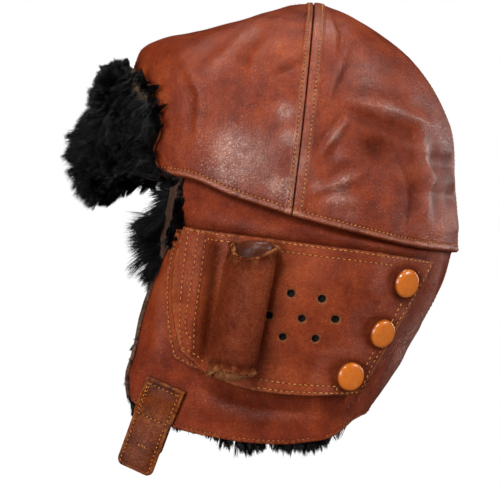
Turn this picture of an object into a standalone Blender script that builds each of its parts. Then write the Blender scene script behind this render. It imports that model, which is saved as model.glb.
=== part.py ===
"""A leather flying helmet lined with fur, with receiver pockets over the ears.

Metres, +Z up, the face towards -Y and the wearer's left towards +X. The origin is
the middle of the head at ear level. Shapes are measured round the upright axis
through the top of the crown.
"""

import math

import bmesh
import bpy
from mathutils import Matrix, Vector

# Gaps and sheet thicknesses
GAP = 0.0003
LEATHER = 0.0014
THIN_LEATHER = 0.0012
TAPE = 0.0008
CROWN_FUR = 0.0060
CURTAIN_FUR = 0.0065

# Crown
CROWN_AXIS_Y = 0.024
CROWN_TOP = 0.1735
CROWN_SIDE = 0.0860
CROWN_AHEAD = 0.1020
CROWN_BEHIND = 0.0830
AHEAD_POWER = 2.5
BEHIND_POWER = 2.1
HEM_FRONT = 0.0780
HEM_BACK = 0.0350
HEM_TUCK = 0.0080
FACING_HEIGHT = 0.0110
SEAM_GAP = 0.0004
SEAM_RAISE = 0.0007
CROSS_SEAM_LEAD = 0.0132
CROSS_SEAM_POWER = 1.7
SEAM_BAND = 0.0050
LINING_DEPTH = 0.0040
LINING_RISE = 0.0105
FACING_GAP = 0.0004

# Curtain round the sides and neck
CURTAIN_LOW = -0.0664
CURTAIN_SIDE_LOW = 0.0740
CURTAIN_AHEAD_LOW = 0.1350
NECK_IN = 0.0500
FRONT_CORNER_RISE = 0.0222
BACK_CORNER_RISE = 0.0124
FRONT_EDGE_START = 0.0250
FRONT_EDGE_REACH = 0.0253
BINDING_WIDTH = 0.0068
BINDING_LOW_SHARE = 0.45
BINDING_INSET = 0.0010
BACK_TAPE_HALF = 0.0060
SIDE_LINING_DEPTH = 0.0031

# Receiver pockets, by places in the side view
HINGE_TOP = (-0.0340, 0.0470)
HINGE_LOW = (-0.0410, -0.0225)
COVER_BACK_TOP = (0.0810, 0.0315)
COVER_BACK_LOW = (0.0425, -0.0370)
COVER_SAG = 0.0085
STRIP_TOP = (-0.0450, 0.0490)
STRIP_LOW = (-0.0470, -0.0172)
STRIP_BOW = 0.0053
HINGE_GAP = 0.0008
BASE_LIFT = 0.0006
BASE_MARGIN = 0.0042
BASE_TOP_INSET = 0.0010
FRONT_LIFT = 0.0060
BASE_BACK_INSET = 0.0030
COVER_BULGE = 0.0040
COVER_RAMP = 0.0100
SOCKET_SEAT = 0.0011
COVER_LINING = 0.0008
COVER_LINING_INSET = 0.0030
HOLE_CENTRE = (0.0159, 0.0021)
HOLE_PITCH = 0.0162
HOLE_ROW = 0.0110
HOLE_RADIUS = 0.0020
RING_CENTRE = (0.0130, 0.0030)
RING_OUTER = 0.0260
RING_INNER = 0.0170
RING_THICKNESS = 0.0034

# Leather roll on each cover
ROLL_TOP = (-0.0060, 0.0405)
ROLL_LOW = (-0.0190, -0.0290)
ROLL_RADIUS = 0.0112
ROLL_CORE_OVERHANG = 0.0008

# Press fasteners
CAP_RADIUS = 0.00775
CAP_HEIGHT = 0.0036
CAP_POST_RADIUS = 0.0017
POST_CLEARANCE = 0.0004
SOCKET_RADIUS = 0.0060
SOCKET_HEIGHT = 0.0022
SOCKET_BORE = 0.0038
SOCKET_ROOF = 0.0005
STUD_RADIUS = 0.0055
STUD_DISC = 0.0008
STUD_HEAD = 0.0028
STUD_HEAD_HEIGHT = 0.0010
SNAP_PLACES = ((0.0655, 0.0205), (0.0530, -0.0050), (0.0375, -0.0280))

# Turned-up brow flap
FLAP_LIFT = 0.0011
FLAP_LEATHER = 0.0016
FLAP_HALF_TURN = math.radians(42)
FLAP_TOP_ARC = 0.0530
FLAP_FUR = 0.0355
FLAP_FUR_DROP = 0.0140
FLAP_FUR_OVER = 0.0050
FLAP_FUR_CLEAR = 0.0022
FLAP_FUR_LEAST = 0.0035

# Chin tabs
TAB_WIDTH = 0.0215
TAB_HINGE_MIDDLE = (-0.0632, -0.0545)
TAB_TURN = math.radians(22.7)
ANCHOR_LENGTH = 0.0215
TAB_LENGTH = 0.0285
TAB_THICKNESS = 0.0020
TAB_BACKING = 0.0012
TAB_BACKING_START = 0.0050
TAB_CORNER = 0.0040
TAB_SNAP_DROP = 0.0200
ANCHOR_LIFT = 0.0006

SMALL_STEP = 0.0005
CUT_OVERRUN = 0.0040

# Sides of round pieces and cells of the sheets
PANEL_CELLS = 10
LINING_CELLS = 12
CURTAIN_CELLS = (18, 9)
CURTAIN_LINING_CELLS = (12, 6)
COVER_CELLS = (9, 6)
BASE_CELLS = (12, 6)
FLAP_CELLS = (12, 5, 7, 2)
ROLL_CELLS = 6
RING_SIDES = 24
HEM_CELLS = 22
HOLE_SIDES = 10
CAP_SIDES = 16
SNAP_SIDES = 10

# Length of the crown from top to hem, and how its raised bands keep their width
CROWN_ARC = math.hypot(CROWN_SIDE, CROWN_TOP - HEM_BACK)
BAND_SPREAD = 1.15
BAND_SLOPE = 0.25
BULGE_END = 0.78
FRONT_SHARE = 0.15
ROLL_MIDDLE_SHARE = 0.75
SIDES = ((1, "left"), (-1, "right"))

# Shares of the crown's radius and height, from the hem to the top
FRONT_PROFILE_SHARES = (
    (1, 0), (0.998, 0.30), (0.985, 0.55), (0.965, 0.66), (0.93, 0.735), (0.83, 0.784),
    (0.72, 0.814), (0.58, 0.848), (0.41, 0.885), (0.30, 0.918), (0.13, 0.985), (0, 1),
)
SIDE_PROFILE_SHARES = (
    (1, 0), (1, 0.2), (0.985, 0.4), (0.94, 0.58), (0.85, 0.74), (0.70, 0.86),
    (0.5, 0.935), (0.25, 0.985), (0, 1),
)
BACK_PROFILE_SHARES = (
    (0.965, 0), (0.965, 0.08), (0.961, 0.16), (0.953, 0.23), (0.946, 0.31), (0.94, 0.41),
    (0.92, 0.495), (0.86, 0.588), (0.775, 0.68), (0.67, 0.758), (0.54, 0.82), (0.40, 0.879),
    (0.26, 0.925), (0.13, 0.969), (0, 1),
)
# Shares along the hem from front to back, and of its fall
HEM_SHARES = ((0, 1), (0.18, 0.92), (0.31, 0.69), (0.49, 0.435), (0.66, 0.24), (0.84, 0.07), (1, 0))
# Shares of the curtain's depth, and of how far the neck draws in
NECK_SHARES = (
    (0, 0), (0.14, 0.08), (0.27, 0.20), (0.38, 0.34), (0.51, 0.50), (0.60, 0.59),
    (0.68, 0.70), (0.88, 0.94), (1, 1),
)
# Shares along the lower edge, and of the rise at the front and back corners
LOW_FRONT_SHARES = ((0, 1), (0.03, 0.72), (0.075, 0.37), (0.17, 0.12), (0.23, 0.04), (0.31, 0), (1, 0))
LOW_BACK_SHARES = ((0, 0), (0.31, 0), (0.375, 0.1), (0.44, 0.28), (0.55, 0.95), (0.74, 1), (1, 1))
# Shares down the front edge, and of its reach forward
FRONT_EDGE_SHARES = (
    (0, 0), (0.057, 0.036), (0.147, 0.12), (0.233, 0.225), (0.311, 0.29), (0.469, 0.474),
    (0.61, 0.688), (0.794, 0.873), (0.876, 1), (0.94, 1), (1, 0.96),
)
# Shares of the strip's width, and of the knuckle and the end corners of a chin tab
BINDING_SHARES = (0, 0.5, 0.93)
TAB_KNUCKLE_SHARES = ((-0.92, 0.39), (-0.7, 0.71), (-0.38, 0.92), (0, 1))
TAB_CORNER_SHARES = ((1, 0), (0.6, 0.1), (0.25, 0.4), (0, 0.9))
TAB_ACROSS_SHARES = (-1, -0.5, 0, 0.5, 1)
TAB_TRIM_SHARE = 0.25
COVER_SAG_SHARES = ((0, 0), (0.07, 0.4), (0.23, 0.82), (0.39, 1), (0.69, 0.8), (0.9, 0.35), (1, 0))
HOLE_SHARES = ((0, 0), (1, -0.06), (-1, 0.15), (-0.33, 1.15), (0.62, 0.9), (-0.59, -0.86), (0.43, -0.96))
# Shares of the roll's radius, across the cover and away from it
ROLL_SHARES = (
    (0.62, 0.0), (0.92, 0.34), (1.03, 0.72), (0.93, 1.1), (0.62, 1.38), (0.18, 1.5),
    (-0.28, 1.38), (-0.66, 1.05), (-0.92, 0.62), (-1.1, 0.28), (-1.2, 0.0), (-0.6, 0.0), (0, 0),
)
CAP_SHARES = ((0, 1), (0.4, 0.95), (0.72, 0.8), (0.92, 0.55), (1, 0.25), (0.97, 0))
# Shares up the fur of the flap, and of its pile
FLAP_PILE_SHARES = (
    (0, 0.1), (0.08, 0.62), (0.2, 0.88), (0.37, 1), (0.6, 0.88), (0.79, 0.7), (0.92, 0.48), (1, 0.1),
)
FLAP_SIDE_SHARES = ((0, 1), (0.5, 0.86), (0.8, 0.62), (0.94, 0.4), (1, 0.1))
FLAP_DROP_SHARES = ((0, 1), (0.3, 1), (0.5, 0.72), (0.65, 0.35), (0.8, 0.2), (1, 0.1))
FOLD_SLOPE_SHARE = 0.7

# Colours
CROWN_BROWN = (0.262, 0.048, 0.017)
COVER_BROWN = (0.142, 0.026, 0.012)
TAB_BROWN = (0.114, 0.032, 0.010)
STRIP_BROWN = (0.061, 0.032, 0.026)
INNER_TAN = (0.280, 0.130, 0.055)
FUR_BLACK = (0.010, 0.009, 0.011)
FELT_GREY = (0.100, 0.090, 0.080)
TAPE_BROWN = (0.090, 0.045, 0.025)
CAP_ORANGE = (0.630, 0.133, 0.012)
BRASS = (0.560, 0.380, 0.140)


def clear_scene():
    for obj in list(bpy.data.objects):
        bpy.data.objects.remove(obj, do_unlink=True)


def mix(first, second, share):
    return first + (second - first) * share


def ease(share):
    share = min(max(share, 0.0), 1.0)
    return share * share * (3 - 2 * share)


def read_shares(table, place):
    """The smooth line through a table's points, read at a place along it."""
    place = min(max(place, table[0][0]), table[-1][0])
    for index in range(len(table) - 1):
        if place <= table[index + 1][0]:
            break
    before = table[max(index - 1, 0)]
    start, end = table[index], table[index + 1]
    after = table[min(index + 2, len(table) - 1)]
    span = end[0] - start[0]
    slope_in = (end[1] - before[1]) / (end[0] - before[0]) * span
    slope_out = (after[1] - start[1]) / (after[0] - start[0]) * span
    part = (place - start[0]) / span
    square, cube = part * part, part * part * part
    return (
        (2 * cube - 3 * square + 1) * start[1]
        + (cube - 2 * square + part) * slope_in
        + (3 * square - 2 * cube) * end[1]
        + (cube - square) * slope_out
    )


def profile_lengths(profile, radius, height):
    """The share of its own length at which each point of a profile lies, from the top down."""
    points = [(share * radius, rise * height) for share, rise in reversed(profile)]
    lengths = [0.0]
    for first, second in zip(points, points[1:]):
        lengths.append(lengths[-1] + math.dist(first, second))
    return [length / lengths[-1] for length in lengths]


def profile_point(profile, lengths, share):
    """Radius share and height share of a profile, at a share of its length from the top."""
    turned = list(reversed(profile))
    radii = [(length, point[0]) for length, point in zip(lengths, turned)]
    rises = [(length, point[1]) for length, point in zip(lengths, turned)]
    return read_shares(radii, share), read_shares(rises, share)


def ring_radius(azimuth, side, ahead, behind):
    """Distance from the axis of a rounded outline; the azimuth is zero in front."""
    along = ahead if math.cos(azimuth) > 0 else behind
    power = AHEAD_POWER if math.cos(azimuth) > 0 else BEHIND_POWER
    across = (abs(math.sin(azimuth)) / side) ** power
    return (across + (abs(math.cos(azimuth)) / along) ** power) ** (-1 / power)


def hem_height(y):
    front = CROWN_AXIS_Y - CROWN_AHEAD
    back = CROWN_AXIS_Y + CROWN_BEHIND
    return mix(HEM_BACK, HEM_FRONT, read_shares(HEM_SHARES, (y - front) / (back - front)))


PROFILES = tuple(
    (profile, profile_lengths(profile, radius, CROWN_TOP - hem))
    for profile, radius, hem in (
        (FRONT_PROFILE_SHARES, CROWN_AHEAD, HEM_FRONT),
        (SIDE_PROFILE_SHARES, CROWN_SIDE, (HEM_FRONT + HEM_BACK) / 2),
        (BACK_PROFILE_SHARES, CROWN_BEHIND, HEM_BACK),
    )
)


def crown_surface(across, along):
    """A point of the crown's outer face. Both places are shares of the way from the top to the hem."""
    share = math.hypot(across, along)
    azimuth = math.atan2(abs(across), -along)
    lead = math.asin(CROSS_SEAM_LEAD / CROWN_SIDE) * min(share, 1.0) ** CROSS_SEAM_POWER
    azimuth -= lead * math.sin(azimuth) ** 2
    end = PROFILES[0] if math.cos(azimuth) > 0 else PROFILES[2]
    weight = math.cos(azimuth) ** 2
    end_radius, end_rise = profile_point(*end, min(share, 1.0))
    side_radius, side_rise = profile_point(*PROFILES[1], min(share, 1.0))
    full = ring_radius(azimuth, CROWN_SIDE, CROWN_AHEAD, CROWN_BEHIND)
    radius = full * mix(side_radius, end_radius, weight)
    hem = hem_height(CROWN_AXIS_Y - full * math.cos(azimuth))
    height = mix(hem, CROWN_TOP, mix(side_rise, end_rise, weight))
    side = math.copysign(radius * math.sin(azimuth), across)
    return Vector((side, CROWN_AXIS_Y - radius * math.cos(azimuth), height))


def crown_point(across, along, lift):
    """A point above (or, with a lift below zero, under) the crown's outer face."""
    step = SMALL_STEP / CROWN_SIDE
    side = crown_surface(across + step, along) - crown_surface(across - step, along)
    length = crown_surface(across, along + step) - crown_surface(across, along - step)
    normal = side.cross(length).normalized()
    return crown_surface(across, along) + normal * lift


def disc_place(side, length):
    """Turns a place in a square into one in the round."""
    return side * math.sqrt(1 - length * length / 2), length * math.sqrt(1 - side * side / 2)


def depth_share(z):
    """How far down the curtain a height is, from the hem at the back to the lowest edge."""
    return min(max((HEM_BACK - z) / (HEM_BACK - CURTAIN_LOW), 0.0), 1.0)


def curtain_tuck():
    return LEATHER + GAP + THIN_LEATHER + GAP


def curtain_sizes(z):
    """Half width, reach ahead and reach behind of the curtain's outer face at a height."""
    tuck = curtain_tuck()
    share = depth_share(z)
    side = mix(CROWN_SIDE - tuck, CURTAIN_SIDE_LOW, ease(share))
    ahead = mix(CROWN_AHEAD - tuck, CURTAIN_AHEAD_LOW, ease(share))
    behind = CROWN_BEHIND * BACK_PROFILE_SHARES[0][0] - tuck - NECK_IN * read_shares(NECK_SHARES, share)
    return side, ahead, behind


def curtain_surface(azimuth, z):
    radius = ring_radius(azimuth, *curtain_sizes(z))
    return Vector((radius * math.sin(azimuth), CROWN_AXIS_Y - radius * math.cos(azimuth), z))


def curtain_point(azimuth, z, lift):
    turn = SMALL_STEP / CROWN_SIDE
    round_way = curtain_surface(azimuth + turn, z) - curtain_surface(azimuth - turn, z)
    up_way = curtain_surface(azimuth, z + SMALL_STEP) - curtain_surface(azimuth, z - SMALL_STEP)
    normal = round_way.cross(up_way).normalized()
    return curtain_surface(azimuth, z) + normal * lift


def azimuth_at(y, z):
    """The azimuth of the curtain's point that lies at y and z in the side view."""
    low, high = 0.0, math.pi
    for _ in range(40):
        middle = (low + high) / 2
        if curtain_surface(middle, z).y < y:
            low = middle
        else:
            high = middle
    return (low + high) / 2


def side_point(y, z, lift):
    """A point on the left over the curtain, by its place in the side view."""
    return curtain_point(azimuth_at(y, z), z, lift)


def front_edge_azimuth(z, binding):
    """The azimuth of the front edge, or of a line behind it by a share of the binding's width."""
    low = CURTAIN_LOW + FRONT_CORNER_RISE
    share = (HEM_FRONT - z) / (HEM_FRONT - low)
    width = BINDING_WIDTH * mix(1, BINDING_LOW_SHARE, min(max(share, 0), 1))
    start = CROWN_AXIS_Y - CROWN_AHEAD + FRONT_EDGE_START
    edge = start - FRONT_EDGE_REACH * read_shares(FRONT_EDGE_SHARES, share)
    return azimuth_at(edge + binding * width, z)


def curtain_place(length, height, binding, inset):
    """Azimuth and height at shares along and up the curtain, which starts behind its front edge
    by a share of the binding's width."""
    low = CURTAIN_LOW + FRONT_CORNER_RISE * read_shares(LOW_FRONT_SHARES, length)
    low += BACK_CORNER_RISE * read_shares(LOW_BACK_SHARES, length) + inset
    z = low
    for _ in range(4):
        front = front_edge_azimuth(z, binding)
        azimuth = mix(front, math.pi, length)
        full = ring_radius(azimuth, CROWN_SIDE, CROWN_AHEAD, CROWN_BEHIND)
        top = hem_height(CROWN_AXIS_Y - full * math.cos(azimuth)) + HEM_TUCK
        z = mix(low, top, height)
    return azimuth, z


def even(count):
    return [index / count for index in range(count + 1)]


def material(name, colour, roughness, metallic):
    made = bpy.data.materials.new(name)
    made.use_nodes = True
    made.diffuse_color = (*colour, 1.0)
    shader = made.node_tree.nodes["Principled BSDF"]
    shader.inputs["Base Color"].default_value = (*colour, 1.0)
    shader.inputs["Roughness"].default_value = roughness
    shader.inputs["Metallic"].default_value = metallic
    return made


def add_object(name, shape, look, pivot=None, matrix=None):
    """Makes an object of a bmesh, with its faces turned out."""
    bmesh.ops.recalc_face_normals(shape, faces=shape.faces)
    mesh = bpy.data.meshes.new(name)
    shape.to_mesh(mesh)
    shape.free()
    mesh.shade_smooth()
    mesh.set_sharp_from_angle(angle=math.radians(40))
    mesh.materials.append(material(name + "_material", *look))
    obj = bpy.data.objects.new(name, mesh)
    bpy.context.scene.collection.objects.link(obj)
    if matrix is not None:
        obj.matrix_world = matrix
    if pivot is not None:
        obj.parent = pivot
        obj.matrix_parent_inverse = Matrix.Translation(-pivot.location)
    return obj


def add_pivot(name, place):
    pivot = bpy.data.objects.new(name, None)
    pivot.location = place
    pivot.empty_display_size = CAP_RADIUS
    bpy.context.scene.collection.objects.link(pivot)
    return pivot


def turned_over(points, side):
    """The points on the wearer's left, or their mirror on the right."""
    return [Vector((point.x * side, point.y, point.z)) for point in points]


def sheet(name, outer, inner, look, side=1, pivot=None):
    """A closed sheet between two grids of points."""
    shape = bmesh.new()
    grids = []
    for rows in (outer, inner):
        grids.append([[shape.verts.new(point) for point in turned_over(row, side)] for row in rows])
    high, low = len(outer), len(outer[0])
    for grid in grids:
        for row in range(high - 1):
            for column in range(low - 1):
                first, second = grid[row][column], grid[row][column + 1]
                third, fourth = grid[row + 1][column + 1], grid[row + 1][column]
                shape.faces.new((first, second, third))
                shape.faces.new((first, third, fourth))
    edge = [(0, column) for column in range(low)]
    edge += [(row, low - 1) for row in range(1, high)]
    edge += [(high - 1, column) for column in range(low - 2, -1, -1)]
    edge += [(row, 0) for row in range(high - 2, 0, -1)]
    for here, there in zip(edge, edge[1:] + edge[:1]):
        first, second = grids[0][here[0]][here[1]], grids[0][there[0]][there[1]]
        third, fourth = grids[1][there[0]][there[1]], grids[1][here[0]][here[1]]
        shape.faces.new((first, second, third, fourth))
    return add_object(name, shape, look, pivot)


def join_loops(shape, first, second):
    for index in range(len(first)):
        after = (index + 1) % len(first)
        shape.faces.new((first[index], first[after], second[after], second[index]))


def loft(name, rings, look, side=1, pivot=None, inner=None):
    """A closed body through rings of points; with inner rings it is a tube, open at both ends."""
    shape = bmesh.new()
    made = [[shape.verts.new(point) for point in turned_over(ring, side)] for ring in rings]
    for first, second in zip(made, made[1:]):
        join_loops(shape, first, second)
    if inner is None:
        shape.faces.new(made[0])
        shape.faces.new(made[-1])
    else:
        bore = [[shape.verts.new(point) for point in turned_over(ring, side)] for ring in inner]
        for first, second in zip(bore, bore[1:]):
            join_loops(shape, first, second)
        join_loops(shape, made[0], bore[0])
        join_loops(shape, made[-1], bore[-1])
    return add_object(name, shape, look, pivot)


def turned(name, profile, sides, look, matrix, pivot=None):
    """A body turned round its own Z from a profile of radius and height, from axis to axis."""
    shape = bmesh.new()
    rings = []
    for radius, height in profile:
        if radius == 0:
            rings.append([shape.verts.new((0, 0, height))])
            continue
        ring = []
        for index in range(sides):
            angle = 2 * math.pi * index / sides
            ring.append(shape.verts.new((radius * math.cos(angle), radius * math.sin(angle), height)))
        rings.append(ring)
    for first, second in zip(rings, rings[1:]):
        if len(first) == 1 or len(second) == 1:
            tip, ring = (first, second) if len(first) == 1 else (second, first)
            for index in range(sides):
                shape.faces.new((tip[0], ring[index], ring[(index + 1) % sides]))
        else:
            join_loops(shape, first, second)
    return add_object(name, shape, look, pivot, matrix)


LOOKS = {
    "crown": (CROWN_BROWN, 0.42, 0.0),
    "cover": (COVER_BROWN, 0.45, 0.0),
    "tab": (TAB_BROWN, 0.5, 0.0),
    "strip": (STRIP_BROWN, 0.7, 0.0),
    "inner": (INNER_TAN, 0.75, 0.0),
    "fur": (FUR_BLACK, 0.9, 0.0),
    "felt": (FELT_GREY, 0.95, 0.0),
    "tape": (TAPE_BROWN, 0.85, 0.0),
    "cap": (CAP_ORANGE, 0.22, 0.0),
    "brass": (BRASS, 0.35, 1.0),
}


def seam_shares(index, length):
    """Places of the grid lines beside a seam: the edge, the end of the raised band, then the rest."""
    band = (SEAM_BAND / CROWN_ARC) * (1 + BAND_SPREAD * length * length)
    if index == 0:
        return 0.0
    if index == 1:
        return band
    step = band + band * BAND_SLOPE
    return mix(step, 1.0, (index - 2) / (PANEL_CELLS - 2))


def panel_place(row, column):
    """Place in the round of a grid point of a crown panel."""
    rough_side, rough_length = column / PANEL_CELLS, row / PANEL_CELLS
    side = seam_shares(column, rough_length)
    length = seam_shares(row, rough_side)
    return disc_place(side, length)


def crown_panel(name, side, along):
    """One quarter of the crown, with raised bands beside both seams."""
    outer, inner = [], []
    for row in range(PANEL_CELLS + 1):
        outer_row, inner_row = [], []
        for column in range(PANEL_CELLS + 1):
            across, length = panel_place(row, column)
            raised = SEAM_RAISE if min(row, column) < 2 else 0
            for lift, points in ((raised, outer_row), (-LEATHER, inner_row)):
                point = crown_point(across, length * along, lift)
                if column == 0:
                    point.x = SEAM_GAP / 2
                if row == 0:
                    point.y += SEAM_GAP / 2 * along
                points.append(point)
        outer.append(outer_row)
        inner.append(inner_row)
    sheet(name, outer, inner, LOOKS["crown"], side)


def tape_rows(rows):
    """Both faces of a tape under a seam, from rows of places in the round."""
    depths = (-(LEATHER + GAP), -(LEATHER + GAP + TAPE))
    return [[[crown_point(*place, depth) for place in row] for row in rows] for depth in depths]


def crown_tapes():
    last = PANEL_CELLS - 1
    for along, name in ((-1, "crown_centre_tape_front"), (1, "crown_centre_tape_rear")):
        rows = []
        for row in range(3, last + 1):
            across, length = panel_place(row, 1)
            middle = panel_place(row, 0)[1]
            rows.append([(-across, length * along), (0, middle * along), (across, length * along)])
        sheet(name, *tape_rows(rows), LOOKS["tape"])
    rows = []
    for column in [-index for index in range(last, 0, -1)] + list(range(last + 1)):
        across, length = panel_place(1, abs(column))
        middle = panel_place(0, abs(column))[0]
        turn = -1 if column < 0 else 1
        rows.append([(across * turn, -length), (middle * turn, 0), (across * turn, length)])
    sheet("crown_cross_tape", *tape_rows(rows), LOOKS["tape"])


def hem_facing(name, side):
    """The turned edge of the crown, on its inner face above the hem."""
    outer, inner = [], []
    start = FACING_GAP / CROWN_SIDE
    for turn in even(HEM_CELLS):
        azimuth = mix(start, math.pi - start, turn)
        for depth, rows in ((LEATHER + GAP, outer), (LEATHER + GAP + THIN_LEATHER, inner)):
            row = []
            for share in (1 - FACING_HEIGHT / CROWN_ARC, 1 - FACING_HEIGHT / CROWN_ARC / 2, 1.0):
                row.append(crown_point(share * math.sin(azimuth), -share * math.cos(azimuth), -depth))
            rows.append(row)
    sheet(name, outer, inner, LOOKS["cover"], side)


def crown_lining():
    outer, inner = [], []
    reach = 1 - LINING_RISE / CROWN_ARC
    for row in even(LINING_CELLS):
        for depth, rows in ((LINING_DEPTH, outer), (LINING_DEPTH + CROWN_FUR, inner)):
            points = []
            for column in even(LINING_CELLS):
                across, along = disc_place(2 * column - 1, 2 * row - 1)
                points.append(crown_point(across * reach, along * reach, -depth))
            rows.append(points)
    sheet("crown_lining", outer, inner, LOOKS["fur"])


def curtain_sheet(name, side, cells, depths, look, binding, inset=0.0):
    """A layer of the curtain, from the front edge round to the seam at the back."""
    outer, inner = [], []
    for length in even(cells[0]):
        rows = []
        for depth in depths:
            points = []
            for height in even(cells[1]):
                azimuth, z = curtain_place(length, height, binding, inset)
                point = curtain_point(azimuth, z, -depth)
                if length == 1:
                    point.x = SEAM_GAP / 2
                points.append(point)
            rows.append(points)
        outer.append(rows[0])
        inner.append(rows[1])
    sheet(name, outer, inner, look, side)


def edge_binding(name, side):
    """The dark strip along the front edge."""
    outer, inner = [], []
    for share in BINDING_SHARES:
        for depth, rows in ((0, outer), (LEATHER, inner)):
            points = []
            for height in even(CURTAIN_CELLS[1]):
                azimuth, z = curtain_place(0, height, share, BINDING_INSET)
                points.append(curtain_point(azimuth, z, -depth))
            rows.append(points)
    sheet(name, outer, inner, LOOKS["strip"], side)


def back_seam_tape():
    outer, inner = [], []
    for turn in (-1, 0, 1):
        for depth, rows in ((LEATHER + GAP, outer), (LEATHER + GAP + TAPE, inner)):
            points = []
            for height in even(CURTAIN_CELLS[1]):
                z = curtain_place(1, height, 0, 0)[1]
                behind = curtain_sizes(z)[2]
                points.append(curtain_point(math.pi + turn * BACK_TAPE_HALF / behind, z, -depth))
            rows.append(points)
    sheet("back_seam_tape", outer, inner, LOOKS["tape"])


def on_line(first, second, share):
    return mix(first[0], second[0], share), mix(first[1], second[1], share)


def cover_place(along, up):
    """Side-view place on a pocket cover: along from the hinge to the back, and up."""
    y, z = on_line(HINGE_LOW, COVER_BACK_LOW, along)
    low = (y, z - COVER_SAG * read_shares(COVER_SAG_SHARES, along))
    return on_line(low, on_line(HINGE_TOP, COVER_BACK_TOP, along), up)


def cover_shares(y, z):
    """The shares along and up a cover of a side-view place."""
    up = 0.5
    for _ in range(6):
        hinge_y = on_line(HINGE_LOW, HINGE_TOP, up)[0]
        back_y = on_line(COVER_BACK_LOW, COVER_BACK_TOP, up)[0]
        along = (y - hinge_y) / (back_y - hinge_y)
        low, high = cover_place(along, 0)[1], cover_place(along, 1)[1]
        up = (z - low) / (high - low)
    return along, up


def base_top():
    return BASE_LIFT + THIN_LEATHER


def cover_lift(along, up):
    """Height of a cover's outer face over the curtain: low at the hinge, then over the fasteners."""
    hinge = base_top() + GAP + LEATHER
    stack = base_top() + GAP + STUD_DISC + GAP + SOCKET_HEIGHT + SOCKET_SEAT
    edge = stack + COVER_LINING + GAP + LEATHER
    width = math.dist(on_line(HINGE_LOW, HINGE_TOP, up), on_line(COVER_BACK_LOW, COVER_BACK_TOP, up))
    rise = ease(along * width / COVER_RAMP)
    swell = math.sin(math.pi * min(along / BULGE_END, 1)) * math.sin(math.pi * min(max(up, 0), 1))
    return mix(hinge, edge, rise) + COVER_BULGE * max(swell, 0) ** 1.5


def cover_point(along, up, lift):
    return side_point(*cover_place(along, up), cover_lift(along, up) + lift)


def over_cover(y, z, lift):
    return side_point(y, z, cover_lift(*cover_shares(y, z)) + lift)


def facing_matrix(origin, normal, side):
    """Turns a piece's own Z along a normal of the left side, or of its mirror."""
    origin, normal = turned_over([origin, normal], side)
    return Matrix.Translation(origin) @ normal.to_track_quat("Z", "Y").to_matrix().to_4x4()


def pocket_base(name, side):
    outer, inner = [], []
    for share in even(BASE_CELLS[0]):
        for lift, rows in ((base_top(), outer), (BASE_LIFT, inner)):
            points = []
            for up in even(BASE_CELLS[1]):
                front = on_line(STRIP_LOW, STRIP_TOP, up)[0] - STRIP_BOW * 4 * up * (1 - up) - BASE_MARGIN
                back = on_line(COVER_BACK_LOW, COVER_BACK_TOP, up)[0] - BASE_BACK_INSET
                y = mix(front, back, share)
                along = cover_shares(y, 0)[0]
                low = cover_place(max(along, 0), 0)[1] - BASE_MARGIN * (1 - share)
                low += FRONT_LIFT * ease(-along / FRONT_SHARE)
                high = cover_place(along, 1)[1] - BASE_TOP_INSET
                points.append(side_point(y, mix(low, high, up), lift))
            rows.append(points)
    sheet(name, outer, inner, LOOKS["cover"], side)


def hinge_strip(name, side):
    """The sewn front part of a cover, ahead of its hinge line."""
    outer, inner = [], []
    top = base_top() + GAP
    for share in even(3):
        for lift, rows in ((top + LEATHER, outer), (top, inner)):
            points = []
            for up in even(BASE_CELLS[1]):
                y, z = on_line(STRIP_LOW, STRIP_TOP, up)
                front = (y - STRIP_BOW * 4 * up * (1 - up), z)
                hinge_y, hinge_z = on_line(HINGE_LOW, HINGE_TOP, up)
                points.append(side_point(*on_line(front, (hinge_y - HINGE_GAP / 2, hinge_z), share), lift))
            rows.append(points)
    sheet(name, outer, inner, LOOKS["cover"], side)


def cover_lines():
    """Shares along and up at which a cover and its lining both have grid lines."""
    width = COVER_BACK_TOP[0] - HINGE_TOP[0]
    inset = COVER_LINING_INSET / width
    ramp = COVER_RAMP / width
    along = [HINGE_GAP / 2 / width, ramp / 2]
    along += [mix(ramp, 1 - inset, share) for share in even(COVER_CELLS[0])] + [1]
    inset = COVER_LINING_INSET / (HINGE_TOP[1] - HINGE_LOW[1])
    up = [0] + [mix(inset, 1 - inset, share) for share in even(COVER_CELLS[1])] + [1]
    return along, up


def cover_grid(along_lines, up_lines, lift):
    return [[cover_point(along, up, lift) for up in up_lines] for along in along_lines]


def hole_places():
    places = []
    for across, up in HOLE_SHARES:
        places.append((HOLE_CENTRE[0] + across * HOLE_PITCH, HOLE_CENTRE[1] + up * HOLE_ROW))
    return places


def add_cutter(name, places, radius, side):
    """Round cutters through a cover at side-view places."""
    shape = bmesh.new()
    for place in places:
        normal = (side_point(*place, CUT_OVERRUN) - side_point(*place, 0)).normalized()
        matrix = facing_matrix(over_cover(*place, 0), normal, side)
        bmesh.ops.create_cone(
            shape, cap_ends=True, segments=HOLE_SIDES, radius1=radius, radius2=radius,
            depth=2 * CUT_OVERRUN, matrix=matrix,
        )
    cutter = add_object(name, shape, LOOKS["brass"])
    cutter.hide_render = True
    cutter.display_type = "WIRE"
    return cutter


def cut(obj, cutter):
    modifier = obj.modifiers.new(cutter.name, "BOOLEAN")
    modifier.operation = "DIFFERENCE"
    modifier.solver = "EXACT"
    modifier.object = cutter


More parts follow.
